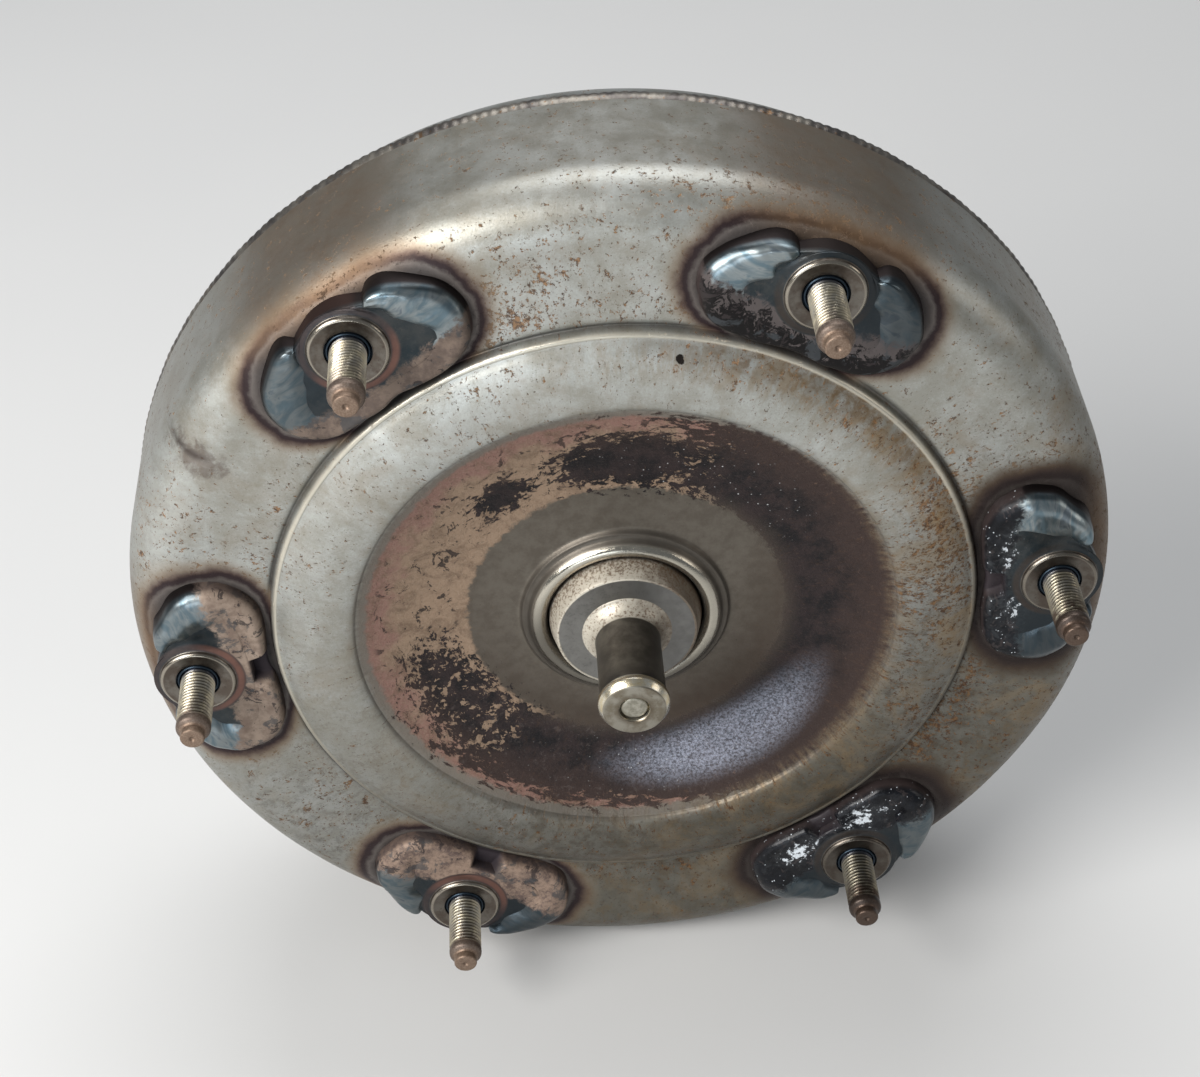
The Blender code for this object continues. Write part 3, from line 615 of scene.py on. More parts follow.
RIM_FACE_Y = 6.6
RIM_FILLET = 15.5
COVER_WALL = 3.8
RIM_CENTRE = (COVER_R - RIM_FILLET, RIM_FACE_Y + RIM_FILLET)
LIP = [(22.5, 13.0), (22.5, 9.4), (22.9, 7.2), (23.9, 5.9), (25.2, 5.35), (26.6, 5.8), (27.6, 6.9),
       (28.5, 8.1), (29.3, 8.5)]
STEP = [(29.3, 8.5), (29.9, 8.65), (30.4, 9.3), (31.0, 9.9), (32.2, 10.05)]
DISH = [(32.2, 10.05), (38.0, 10.15), (44.0, 10.15), (51.0, 9.5), (59.0, 8.2), (66.0, 6.5), (72.0, 4.6),
        (76.6, 2.8), (78.1, 2.15)]
RIDGE = [(78.1, 2.15), (78.5, 1.5), (79.1, 0.95), (80.4, 0.45), (83.0, 0.08), (86.5, 0.02), (90.5, 0.4),
         (94.5, 1.35), (97.6, 2.6), (99.5, 3.65), (100.3, 4.0)]
BEAD = [(100.3, 4.0), (100.7, 3.95), (101.3, 4.15), (101.8, 4.8), (102.05, 5.7), (102.25, 6.5)]
CREASE = [(102.25, 6.5), (102.6, 7.05), (103.3, 7.0), (104.6, 6.7), (107.0, RIM_FACE_Y)]
BEHIND_DISH = [(102.0, RIM_FACE_Y + COVER_WALL), (97.0, 7.0), (83.0, 4.9), (66.0, 11.0), (46.0, 14.4),
               (22.5, 14.4)]


def cover_outside():
    profile = smooth(LIP, 5)
    for part, per_span in ((STEP, 4), (DISH, 7), (RIDGE, 5), (BEAD, 5), (CREASE, 4)):
        profile += smooth(part, per_span)[1:]
    profile += [(r, RIM_FACE_Y) for r in np.arange(110, RIM_CENTRE[0], 2.5)]
    profile += arc(RIM_CENTRE, (RIM_FILLET, RIM_FILLET), -90, 0, 22)
    return profile + [(COVER_R, y) for y in np.linspace(RIM_CENTRE[1], COVER_REAR_Y, 9)[1:]]


def cover_surface_y(radius):
    outside = np.array(cover_outside())
    rising = outside[np.argsort(outside[:, 0], kind="stable")]
    return np.interp(radius, rising[:, 0], rising[:, 1])


def shape_cover(verts):
    """Slight unevenness of the pressing, and the small struck dent on its rim."""
    radius = np.hypot(verts[:, 0], verts[:, 2])
    outside = verts[:, 1] < COVER_REAR_Y - 8
    wave = lumps(verts, 90.0, 3) * 0.16 + lumps(verts, 30.0, 4) * 0.05
    verts = verts.copy()
    verts[:, 1] += wave * outside * smoothstep(32, 60, radius)
    along, across = dent_coordinates(verts[:, 0], verts[:, 2])
    hollow = np.exp(-(along / 5.0) ** 2 - ((across + 0.5) / 2.8) ** 2)
    verts[:, 1] += 1.3 * hollow * (verts[:, 1] < 18) * outside
    return verts


def make_cover():
    inner = RIM_FILLET - COVER_WALL
    profile = cover_outside() + [(COVER_R - COVER_WALL, COVER_REAR_Y)]
    profile += arc(RIM_CENTRE, (inner, inner), 0, -90, 8) + BEHIND_DISH
    cover = turned("cover_pressing", profile, 480, cover_material(), shape_cover)
    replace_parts(cover, "front_cover")


# ---- pilot ----

PILOT_NECK_Y = PILOT_TIP_Y + 4.5


def pilot_material():
    """Dark oxide on the pin, speckled bright cones, a ground collar and a worn head, with painted shade on
    the right of the pin and of the cones.
    """
    g = Graph("pilot_turned_steel")
    radius, _ = g.polar()
    specks, cloud = g.noise(1.15, 4, 0.8), g.noise(0.20, 5, 0.65)
    on_pin = g.y.band(PILOT_NECK_Y, -3.9, 0.25)
    on_head = g.y.between(PILOT_NECK_Y + 0.3, PILOT_NECK_Y - 0.2)
    on_end = g.y.between(PILOT_TIP_Y + 0.5, PILOT_TIP_Y + 0.15)
    on_face = radius.band(13.0, 19.6, 0.12) * g.y.band(-0.8, 0.5, 0.3)
    near_head = g.y.between(PILOT_NECK_Y + 5.0, PILOT_NECK_Y)
    pin = g.coats(
        (0.060, 0.052, 0.042),
        (cloud.between(0.35, 0.7), (0.120, 0.106, 0.086)),
        (near_head * cloud.between(0.4, 0.6), (0.014, 0.012, 0.011)),
        # Painted shade: the pin darker on its right.
        (g.x.between(-2.0, 9.0) * 0.45, (0.030, 0.026, 0.021)))
    stained = g.math("ADD", radius.between(20.4, 22.0) * 0.085, radius.between(13.2, 12.0) * 0.02)
    cones = g.coats(
        (0.50, 0.46, 0.385),
        # Painted shade: the cones browner and darker towards the right.
        ((g.x * 0.05 + 0.20 + (cloud - 0.5) * 1.8).between(0.0, 1.0), (0.165, 0.135, 0.103)),
        ((specks + stained).between(0.535, 0.63) * 0.85, (0.115, 0.066, 0.038)))
    end = g.coats(
        (0.19, 0.165, 0.125),
        (cloud.between(0.38, 0.62), (0.30, 0.28, 0.235)),
        (radius.between(6.4, 4.6) * 0.6, (0.105, 0.080, 0.052)),
        (specks.between(0.60, 0.70) * 0.8, (0.07, 0.05, 0.035)))
    head = g.mix(cloud.between(0.35, 0.65), (0.66, 0.65, 0.60), (0.56, 0.47, 0.30))
    colour = g.coats(
        cones,
        (on_pin, pin),
        (on_face, g.mix(cloud.between(0.3, 0.7), (0.125, 0.125, 0.122), (0.180, 0.180, 0.175))),
        (on_head, g.mix(on_end, head, end)),
        # Painted shadow in the crevice round the cones.
        (radius.between(22.0, 22.3), DIRT_AND_SHADE))
    on_cones = g.math("MAXIMUM", 1.0 - on_pin - on_face - on_head, 0.0)
    roughness = 0.27 + on_pin * 0.10 + cloud * 0.12 - on_head * 0.08 + on_face * 0.08 + on_end * 0.14
    turning = g.noise(1.0, 2, at=g.vector(radius * 3.0, g.y * 3.0, 0.0))
    return g.finish(colour, 0.92 - on_cones * 0.50 - on_pin * 0.35, roughness + on_cones * 0.10,
                    g.relief((turning, 0.02), (cloud, 0.05)))


def plug_material():
    g = Graph("plug_steel")
    patina = g.noise(0.6, 5, 0.7)
    colour = g.mix(patina.between(0.35, 0.65), (0.24, 0.225, 0.18), (0.40, 0.38, 0.32))
    return g.finish(colour, 0.9, 0.34 + patina * 0.2, g.relief((patina, 0.06)))


def make_pilot():
    tip, neck = PILOT_TIP_Y, PILOT_NECK_Y
    profile = [(0, tip + 3.6), (4.25, tip + 3.6), (4.3, tip + 0.35), (4.6, tip), (8.4, tip),
               (8.7, tip + 0.08), (8.95, tip + 0.3), (10.0, tip + 1.9), (10.15, tip + 2.2),
               (10.2, tip + 2.6), (10.2, tip + 3.3)]
    profile += smooth([(10.2, tip + 3.3), (10.0, tip + 3.7), (9.6, tip + 4.1), (9.35, neck)], 4)[1:]
    profile += [(9.35, -14.0), (9.35, -4.6)]
    profile += smooth([(9.35, -4.6), (9.7, -3.2), (10.6, -1.6), (12.0, -0.2), (12.7, 0.15)], 4)[1:]
    profile += [(12.9, 0.32), (19.6, 0.32), (19.75, 0.2), (20.2, 0.35), (20.6, 1.0), (22.0, 6.2), (22.2, 7.4),
                (22.2, 14.9), (29.0, 14.9), (29.0, 17.0), (0, 17.0)]
    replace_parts(turned("pilot_turning", profile, 160, pilot_material()), "pilot_boss")
    top, plug_r = tip + 0.55, 3.85
    profile = smooth([(0, top), (1.6, top + 0.02), (3.2, top + 0.12), (3.75, top + 0.5),
                      (plug_r, top + 1.2)], 4)
    profile += [(plug_r, tip + 3.3), (0, tip + 3.3)]
    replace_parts(turned("pilot_centre_plug", profile, 64, plug_material()), "pilot_plug")


# ---- pads: plate, collar, beads and stud ----

PLATE_Y = 1.8
HIDDEN_DEPTH = 2.8
PLATE_HALF = [(0.0, -15.8), (9.0, -15.6), (16.0, -14.8), (20.4, -12.4), (22.2, -8.0), (21.8, -2.8),
              (18.6, 2.6), (14.2, 6.6), (10.8, 8.9), (5.0, 11.2), (0.0, 11.8)]
BEAD_OUTER_HALF = [(0.0, -20.6), (6.0, -21.4), (14.0, -22.0), (22.0, -21.2), (27.8, -17.6), (31.2, -11.6),
                   (32.0, -5.0), (29.6, 1.2), (24.6, 6.0), (19.6, 9.4), (15.4, 10.4), (12.2, 9.6),
                   (10.0, 8.6), (5.0, 10.0), (0.0, 10.6)]
BEAD_INNER_HALF = [(0.0, -15.3), (9.0, -15.0), (15.0, -14.0), (18.8, -11.6), (19.6, -8.0), (17.4, -3.4),
                   (14.8, 1.0), (13.2, 4.6), (10.2, 8.2), (5.0, 10.6), (0.0, 11.2)]
BEAD_CENTRE_V = -4.0
COLLAR = [(5.0, 2.6), (5.05, 0.95), (5.35, 0.42), (5.8, 0.48), (6.05, 1.1), (6.25, 1.3), (6.4, 0.75),
          (6.6, 0.5), (8.4, 0.3), (9.9, 0.02), (10.15, 0.0), (10.5, 0.16), (10.9, 0.62), (11.0, 1.0),
          (11.3, 1.25), (12.6, 1.5)]


class Pad:
    """One stud's pad: the film on its inner side, how far that reaches, its glossiness and painted white
    glints, the stain round its collar, how dark its two lobes are, the one with negative u first, and the
    notch between them with its painted shadow."""

    def __init__(self, number, film, film_share, sparkle, ring, gloom, notch):
        self.number = number
        self.angle = STUD_ANGLES[number]
        self.film = film
        self.film_share = film_share
        self.sparkle = sparkle
        self.ring = ring
        self.gloom = gloom
        self.notch = notch

    def to_world(self, u, v, y):
        out = np.array([cos(self.angle), 0, sin(self.angle)])
        along = np.array([sin(self.angle), 0, -cos(self.angle)])
        return np.outer(v + STUD_CIRCLE_R, out) + np.outer(u, along) + np.outer(y, np.array([0, 1, 0]))


BLACK_FILM = ((0.082, 0.070, 0.068), (0.009, 0.008, 0.008))
DULL_FILM = ((0.175, 0.132, 0.106), (0.088, 0.066, 0.056))
OILY_FILM = ((0.009, 0.010, 0.013), (0.004, 0.004, 0.005))
TAN_FILM = ((0.265, 0.205, 0.162), (0.140, 0.100, 0.080))
PINK_FILM = ((0.265, 0.190, 0.145), (0.095, 0.068, 0.060))
BROWN_RING, PINK_RING = (0.060, 0.048, 0.041), (0.215, 0.110, 0.085)
PADS = [
    Pad(1, OILY_FILM, -0.15, 0.45, BROWN_RING, (0.08, 0.88), 0.8),
    Pad(2, BLACK_FILM, 0.55, 0.0, BROWN_RING, (0.10, 0.82), 0.0),
    Pad(3, DULL_FILM, -0.20, 0.0, PINK_RING, (0.62, 0.22), 0.0),
    Pad(4, TAN_FILM, 0.56, 0.0, PINK_RING, (0.35, 0.40), 1.0),
    Pad(5, PINK_FILM, 0.74, 0.0, PINK_RING, (0.85, 0.55), 1.0),
    Pad(6, OILY_FILM, 1.0, 1.0, BROWN_RING, (0.62, 0.80), 0.8),
]


def pad_metal(g, pad, on_bead):
    """Blue-black oxide on the plate or shining weld on the bead, with the pad's dark lobes and painted shade
    on its wall.
    """
    if on_bead:
        # Colour bands lie across the run, as each layer of weld cooled.
        layers = g.noise(1.0, 3, 0.6, 1.0, at=g.vector(g.u * 0.11, g.v * 0.26, pad.number * 9.0))
        colour = g.coats(
            BEAD_BLUE,
            (layers.between(0.36, 0.62), BEAD_PALE),
            (layers.between(0.60, 0.70) * 0.7, (0.13, 0.17, 0.21)),
            (g.y.between(1.5, 2.3) * 0.8, PLATE_BLUE))
    else:
        colour = g.coats(
            PLATE_BLUE,
            (g.mottle.between(0.35, 0.65), (0.062, 0.066, 0.066)),
            (g.fine.between(0.55, 0.7) * 0.4, (0.11, 0.10, 0.09)))
    gloom_before, gloom_after = pad.gloom
    gloom = g.u.between(-7.0, 7.0) * (gloom_after - gloom_before) + gloom_before
    # Painted shade on the wall.
    return g.coats(colour, (gloom, (0.030, 0.037, 0.043)), (g.wall, (0.026, 0.021, 0.021)))


def pad_film(g, pad):
    """Share and colour of the film. It lies on the inner side, and its edge follows that of the plate."""
    edge = (abs(g.u) * 0.14 - g.v - 8.4) * 0.30 + (g.flakes - 0.5) * 3.4 + (pad.film_share - 0.7) * 1.8
    chips = g.noise(0.22, 6, 0.75, 0.8)
    if pad.film is BLACK_FILM:
        # Black flakes lie thickest along the inner edge and thin out over stained metal.
        dark_share = (edge * 0.50 + (chips - 0.5) * 7.0).between(0.60, 0.85)
    else:
        grain = 0.45 if pad.film is PINK_FILM else 0.2
        dark_share = (g.mottle * (1.0 - grain) + g.fine * grain).between(0.40, 0.62) * (0.7 + grain * 0.6)
    slate = g.noise(0.12, 5, 0.7, 0.5).between(0.54, 0.60) * (1.0 - pad.sparkle)
    light, dark = pad.film
    colour = g.coats(
        light,
        (dark_share, dark),
        (chips.between(0.562, 0.597) * 0.85, (0.034, 0.028, 0.028)),
        (slate * 0.7, (0.050, 0.055, 0.060)),
        # Painted shade on the wall.
        (g.wall * 0.7, (0.050, 0.036, 0.034)))
    return edge.between(-0.2, 0.70) * g.from_stud.between(13.4, 14.0), colour


def collar_face(g, pad, bevel):
    """Machined collar: stained face, bright bevel, dark seat round the stud."""
    return g.coats(
        (0.105, 0.085, 0.070),
        (g.mottle.between(0.38, 0.62), (0.165, 0.150, 0.130)),
        (g.fine.between(0.56, 0.70) * 0.5, (0.05, 0.036, 0.028)),
        (bevel * (0.85 - pad.sparkle * 0.6), (0.30, 0.27, 0.225)),
        (pad.sparkle * 0.45, (0.040, 0.032, 0.026)),
        (g.from_stud.between(6.55, 6.3), (0.028, 0.040, 0.054)))


def painted_glints(g, pad, film, collar):
    """Painted white glints on the film, in heaps on both lobes and as single dots. Only two pads have them.
    """
    crest = abs(abs(g.u) - 12.0) * 0.09 + abs(g.v + 14.5) * 0.16
    clumps = g.noise(0.42, 5, 0.66, 0.3)
    glint_heap = (clumps - 0.5) * 4.2 + (g.fine - 0.5) * 1.4 + 0.32 + 0.40 * pad.sparkle - crest
    glints = g.largest(glint_heap.between(0.24, 0.56), glint_heap.between(-0.9, 0.6) * 0.03) * (1.0 - collar)
    glints = g.largest(glints, g.crystals(0.8, 0.12, 0.20, (0.52, 0.58)) * film)
    return glints * min(1.0, 1.8 * pad.sparkle)


def pad_material(pad, on_bead):
    g = Graph(f"pad_{pad.number}_{'bead' if on_bead else 'plate'}")
    g.u = g.x * sin(pad.angle) - g.z * cos(pad.angle)
    g.v = g.x * cos(pad.angle) + g.z * sin(pad.angle) - STUD_CIRCLE_R
    g.from_stud = (g.u * g.u + g.v * g.v) ** 0.5
    g.mottle, g.fine, g.flakes = g.noise(0.16, 5, 0.65), g.noise(0.9, 5, 0.7), g.noise(0.35, 6, 0.7, 0.5)
    # Painted shade on the plate's side wall.
    g.wall = g.y.between(2.4, 4.6)
    film, film_colour = pad_film(g, pad)
    # Painted shadow in the notch between the lobes on the inner side.
    notch = abs(g.u).between(5.2, 3.2) * g.v.between(-14.8, -16.2) * pad.notch
    shoulder = g.from_stud.band(11.4, 13.4, 0.6) * (0.5 + g.mottle)
    collar, bevel = g.from_stud.between(11.3, 11.1), g.from_stud.band(9.95, 10.75, 0.12)
    glints = painted_glints(g, pad, film, collar)
    colour = g.coats(
        pad_metal(g, pad, on_bead),
        (film, film_colour),
        (notch, (0.030, 0.024, 0.028)),
        (shoulder * (0.15 + g.v.between(2.0, -8.0) * 0.6), pad.ring),
        (collar, collar_face(g, pad, bevel)),
        # Painted white glints.
        (glints, PAINTED_GLINT))
    metallic = g.math("SUBTRACT", 0.92, film * 0.80 + glints * 0.6, clamp=True)
    roughness = (0.31 if on_bead else 0.36) + film * (0.14 - pad.sparkle * 0.24) + (g.mottle - 0.5) * 0.10
    roughness = roughness + g.wall * 0.2 - bevel * collar * 0.14
    relief = g.relief((g.fine, 0.02 + 0.06 * pad.sparkle), (g.mottle, 0.15, 0.5))
    return g.finish(colour, metallic, roughness, relief, specular=0.12 + 0.10 * pad.sparkle)


def outline_radii(half, centre_v, angles):
    """Distance from a centre on the v axis to a symmetric rounded outline, at each angle about the centre."""
    left = [(-u, v) for u, v in reversed(half) if u > 0]
    curve = np.array(smooth(half + left, 12, closed=True)) - np.array([0, centre_v])
    bearing = np.arctan2(curve[:, 1], curve[:, 0])
    order = np.argsort(bearing)
    return np.interp(angles, bearing[order], np.hypot(curve[:, 0], curve[:, 1])[order], period=2 * pi)


def make_plate(pad, material):
    """Block round the stud with its collar, down into the cover."""
    columns = 192
    angles = np.arange(columns) * 2 * pi / columns
    rim = outline_radii(PLATE_HALF, 0.0, angles)
    rows = [(np.full(columns, r), np.full(columns, y)) for r, y in smooth(COLLAR, 3)]
    collar_r, collar_y = COLLAR[-1]
    for share in np.linspace(0, 1, 12)[1:]:
        radius = collar_r + (np.maximum(rim - 0.7, collar_r + 0.2) - collar_r) * share
        rows.append((radius, np.full(columns, collar_y + (PLATE_Y - collar_y) * min(1.0, share * 3))))
    for inset, y in ((0.3, 1.95), (0.08, 2.3), (0.0, 2.8), (0.0, 5.0)):
        rows.append((rim - inset, np.full(columns, y)))
    for hidden in (rim, np.full(columns, 5.0)):
        from_axis = np.hypot(hidden * np.cos(angles), hidden * np.sin(angles) + STUD_CIRCLE_R)
        rows.append((hidden, cover_surface_y(from_axis) + HIDDEN_DEPTH))
    radius, y = (np.concatenate(values) for values in zip(*rows))
    angle = np.tile(angles, len(rows))
    verts = pad.to_world(radius * np.cos(angle), radius * np.sin(angle), y)
    on_plate = (radius > 13.5) & (y < 2)
    verts[:, 1] += lumps(verts, 9.0, 20 + pad.number) * 0.07 * on_plate
    faces = grid_faces(len(rows), columns, True)
    plate = mesh_object(f"stud_plate_{pad.number}", verts, faces, material)
    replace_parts(plate, f"stud_block_{pad.number}")


def make_beads(pad, material):
    """Weld run round the plate: two high lobes, a low run on the inner side with a gap, open at the top."""
    columns, rows_across, roundness = 320, 30, 2.6
    angles = np.arange(columns) * 2 * pi / columns
    outer = outline_radii(BEAD_OUTER_HALF, BEAD_CENTRE_V, angles)
    inner = outline_radii(BEAD_INNER_HALF, BEAD_CENTRE_V, angles)

    def local(radius):
        return radius * np.cos(angles), radius * np.sin(angles) + BEAD_CENTRE_V

    rim = pad.to_world(*local(outer), np.zeros(columns))
    outer = outer + lumps(rim, 16.0, 40 + pad.number) * 0.35
    uneven = lumps(rim, 14.0, 80 + pad.number, 1) * 1.2
    inner = inner + uneven * smoothstep(9.0, 15.0, np.abs(local(inner)[0]))
    u_mid, v_mid = local((outer + inner) / 2)
    lobe = smoothstep(9.0, 15.0, np.abs(u_mid)) * smoothstep(-17.0, -7.0, v_mid)
    top_gap = smoothstep(12.4, 10.4, np.abs(u_mid)) * smoothstep(3.0, 6.5, v_mid)
    low_gap = pad.notch * smoothstep(5.4, 3.0, np.abs(u_mid)) * smoothstep(-12.0, -15.0, v_mid)
    outer = outer * (1 - top_gap) + (inner - 1.0) * top_gap
    u_foot, v_foot = local(outer)
    foot = cover_surface_y(np.hypot(u_foot, v_foot + STUD_CIRCLE_R)) + 0.5 + 1.5 * top_gap
    crest = 1.6 - 1.15 * lobe + 4.2 * low_gap
    crest = np.minimum(crest * (1 - top_gap) + 9.0 * top_gap, foot + 1.0)
    inside_y = PLATE_Y + np.where(lobe > 0.3, 0.35, 0.15) + 4.2 * low_gap + 7.0 * top_gap
    peak, steep = 0.40 + 0.12 * lobe, 1.2 + 1.3 * lobe
    run = np.cumsum(np.hypot(np.diff(u_mid, append=u_mid[0]), np.diff(v_mid, append=v_mid[0])))
    rows = []
    for share in np.linspace(0, 1, rows_across) ** 0.85:
        rise = (1 - np.clip(1 - share / peak, 0, 1) ** roundness) ** (1 / roundness)
        fall = np.clip((share - peak) / (1 - peak), 0, 1) ** steep
        y = foot + (crest - foot) * rise + (inside_y - crest) * fall
        ripple = 0.030 * np.sin(2 * pi * run / 3.2 + 7.0 * (share - 0.5) ** 2)
        furrow = 0.16 * sin(3 * pi * share + 0.6 + pad.number) * lobe
        verts = pad.to_world(*local(outer + (inner - outer) * share), y)
        swell = lumps(verts, 12.0, 60 + pad.number) * (0.10 + 0.10 * lobe)
        verts[:, 1] += (ripple + furrow + swell) * sin(pi * share)
        rows.append(verts)
    for radius in (inner - 0.6, outer - 1.0):
        rows.append(pad.to_world(*local(radius), foot + 1.0))
    # The rows run inwards, so the faces are turned over to look outwards.
    faces = [tuple(reversed(face)) for face in grid_faces(len(rows), columns, True)]
    beads = mesh_object(f"pad_weld_{pad.number}", np.concatenate(rows), faces, material, 60)
    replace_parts(beads, f"block_weld_{pad.number}")


THREAD_PITCH, THREAD_DEPTH, THREAD_END_Y = 1.25, 0.75, 2.0
STUD_BRIGHTNESS = {1: 0.54, 2: 0.84, 3: 0.84, 4: 0.84, 5: 0.84, 6: 0.38}
OILY_STUDS = (1, 6)


def stud_material(number):
    """Yellowish passivated thread with dirt and painted shade in its valleys, brown shoulder and coppery dog
    point. The two oily studs are darker.
    """
    g = Graph(f"stud_{number}_steel")
    centre_x, centre_z = stud_centre(number)
    _, turn = g.polar(g.x - centre_x, g.z - centre_z)
    phase = g.math("FRACT", g.y / THREAD_PITCH + turn / 360.0)
    valley_dirt_and_shade = abs(phase - 0.5).between(0.16, 0.38)
    mottle, fine = g.noise(0.3, 4, 0.6), g.noise(2.0, 4, 0.7)
    tar, matting, soak = (0.95, 0.02, 0.45) if number in OILY_STUDS else (0.55, 0.14, 0.0)

    def metal(*colour):
        return tuple(channel * STUD_BRIGHTNESS[number] for channel in colour)

    thread = g.coats(
        metal(0.54, 0.48, 0.355),
        (mottle.between(0.35, 0.65), metal(0.42, 0.395, 0.34)),
        # Dirt and painted shade in the thread's valleys.
        (valley_dirt_and_shade * 0.92, metal(0.058, 0.045, 0.032)),
        (g.y.between(-6.0, -17.0) * mottle.between(0.35, 0.6) * tar, metal(0.13, 0.085, 0.06)))
    shoulder = g.coats(
        metal(0.130, 0.092, 0.072),
        (fine.between(0.35, 0.65), metal(0.21, 0.165, 0.135)),
        (soak, (0.026, 0.016, 0.013)))
    point = g.coats(
        metal(0.21, 0.140, 0.100),
        (fine.between(0.35, 0.7), metal(0.32, 0.235, 0.175)),
        (soak, (0.055, 0.033, 0.026)))
    on_nose = g.y.between(STUD_TIP_Y + 6.4, STUD_TIP_Y + 5.8)
    colour = g.coats(
        thread,
        (on_nose, shoulder),
        (g.y.between(STUD_TIP_Y + 3.4, STUD_TIP_Y + 2.8), point),
        (g.y.between(-1.0, 0.6), (0.03, 0.035, 0.05)))
    roughness = 0.24 + fine * 0.22 + on_nose * matting
    return g.finish(colour, 0.95 - on_nose * 0.25, roughness, g.relief((fine, 0.03)))


def stud_centre(number):
    return STUD_CIRCLE_R * cos(STUD_ANGLES[number]), STUD_CIRCLE_R * sin(STUD_ANGLES[number])


def make_stud(number):
    """Threaded stud with a smooth shoulder and a dog point that has a centre mark."""
    tip, rows_per_pitch, core_r = STUD_TIP_Y, 10, 4.9
    nose = smooth([(0, tip + 0.55), (0.45, tip + 0.48), (0.95, tip + 0.08), (1.4, tip)], 4)
    nose += smooth([(1.4, tip), (3.0, tip + 0.02), (3.4, tip + 0.3), (3.52, tip + 0.8), (3.5, tip + 2.0),
                    (3.3, tip + 2.5)], 4)[1:]
    nose += smooth([(3.3, tip + 2.5), (3.6, tip + 2.95), (4.5, tip + 3.5), (4.95, tip + 4.2),
                    (5.0, tip + 5.6), (4.75, tip + 6.0)], 4)[1:]
    thread_start = tip + 6.1
    count = int((THREAD_END_Y - thread_start) / THREAD_PITCH * rows_per_pitch)
    profile = nose + [(core_r, y) for y in np.linspace(thread_start, THREAD_END_Y, count)]
    profile += [(core_r, 3.6), (0, 3.6)]

    def cut_thread(verts):
        verts = verts.copy()
        turn = np.arctan2(verts[:, 2], verts[:, 0]) / (2 * pi)
        phase = (verts[:, 1] / THREAD_PITCH + turn) % 1.0
        tooth = np.clip(np.abs(phase - 0.5) * 2.6 - 0.15, 0, 1)
        fade = smoothstep(thread_start - 0.2, thread_start + 0.9, verts[:, 1])
        fade = fade * (verts[:, 1] < THREAD_END_Y + 0.01)
        scale = 1 - fade * tooth * THREAD_DEPTH / 5.0 + fade * 0.02
        verts[:, [0, 2]] *= scale[:, None]
        return verts

    stud = turned(f"threaded_stud_{number}", profile, 48, stud_material(number), cut_thread,
                  stud_centre(number), 50)
    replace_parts(stud, f"stud_{number}")


def make_pads():
    for pad in PADS:
        make_plate(pad, pad_material(pad, on_bead=False))
        make_beads(pad, pad_material(pad, on_bead=True))
        make_stud(pad.number)


# ---- impeller side ----

SHELL_CENTRE, SHELL_A, SHELL_B, SHELL_WALL = (92.0, 62.0), 46.4, 34.0, 3.5
SHELL_FRONT_Y = COVER_REAR_Y - 6.5
TAB_ROWS_DEG = (38.0, 74.0, 112.0)
TAB_COUNT, TAB_DEPTH = 26, 0.55


def shell_material():
    g = Graph("shell_steel")
    g.radius, g.theta = g.polar()
    broad, mottle, grain = g.noise(0.022, 3), g.noise(0.12, 5, 0.6), g.noise(1.6, 4, 0.6)
    rust = rust_specks(g, 0.45 + (broad - 0.5) * 1.4)
    colour = g.coats(
        STEEL_DARK,
        ((mottle * 0.6 + broad * 0.4).between(0.36, 0.62), STEEL_LIGHT),
        (g.noise(0.05, 4, 0.6, 0.8).between(0.50, 0.72) * 0.6, (0.27, 0.22, 0.16)),
        (rust * 0.85, g.mix(g.noise(0.9, 3).between(0.4, 0.62), RUST, RUST_DARK)),
        (g.y.between(72.0, 60.0) * (mottle * 0.5 + 0.45), (0.12, 0.085, 0.075)),
        (g.radius.between(62.0, 50.0) * (mottle * 0.5 + 0.4), (0.13, 0.10, 0.10)))
    metallic = g.math("SUBTRACT", 0.85, rust * 0.7, clamp=True)
    relief = g.relief((grain, 0.035), (g.noise(0.04, 3), 0.4, 0.6))
    return g.finish(colour, metallic, 0.38 + (mottle - 0.5) * 0.2 + rust * 0.3, relief)


def shape_shell(verts):
    """Shallow marks where the blades' tabs are rolled down inside."""
    verts = verts.copy()
    radius, theta = np.hypot(verts[:, 0], verts[:, 2]), np.arctan2(verts[:, 2], verts[:, 0])
    out, back = (radius - SHELL_CENTRE[0]) / SHELL_A, (verts[:, 1] - SHELL_CENTRE[1]) / SHELL_B
    section = np.degrees(np.arctan2(back, out))
    outer = (out ** 2 + back ** 2) > 0.97
    step = 2 * pi / TAB_COUNT
    for row, row_deg in enumerate(TAB_ROWS_DEG):
        lean = 0.006 * (section - row_deg)
        offset = (theta + lean + 0.1 * row + step / 2) % step - step / 2
        mark = np.exp(-(offset * radius / 1.5) ** 2 - ((section - row_deg) / 6.0) ** 4) * outer
        verts[:, 1] -= TAB_DEPTH * mark * np.sin(np.radians(section))
        scale = 1 - TAB_DEPTH * mark * np.cos(np.radians(section)) / radius
        verts[:, [0, 2]] *= scale[:, None]
    verts[:, 1] += lumps(verts, 70.0, 7) * 0.12 * outer * (verts[:, 1] > 64)
    return verts


def make_shell():
    inner_a, inner_b = SHELL_A - SHELL_WALL, SHELL_B - SHELL_WALL
    profile = [(SHELL_CENTRE[0] + SHELL_A, SHELL_FRONT_Y)]
    profile += arc(SHELL_CENTRE, (SHELL_A, SHELL_B), 0, 148, 96) + [(50.0, 79.0), (46.2, 78.4), (46.2, 74.9)]
    profile += arc(SHELL_CENTRE, (inner_a, inner_b), 148, 0, 24)
    profile += [(SHELL_CENTRE[0] + inner_a, SHELL_FRONT_Y)]
    shell = turned("impeller_pressing", profile, 720, shell_material(), shape_shell)
    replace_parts(shell, "impeller_shell")


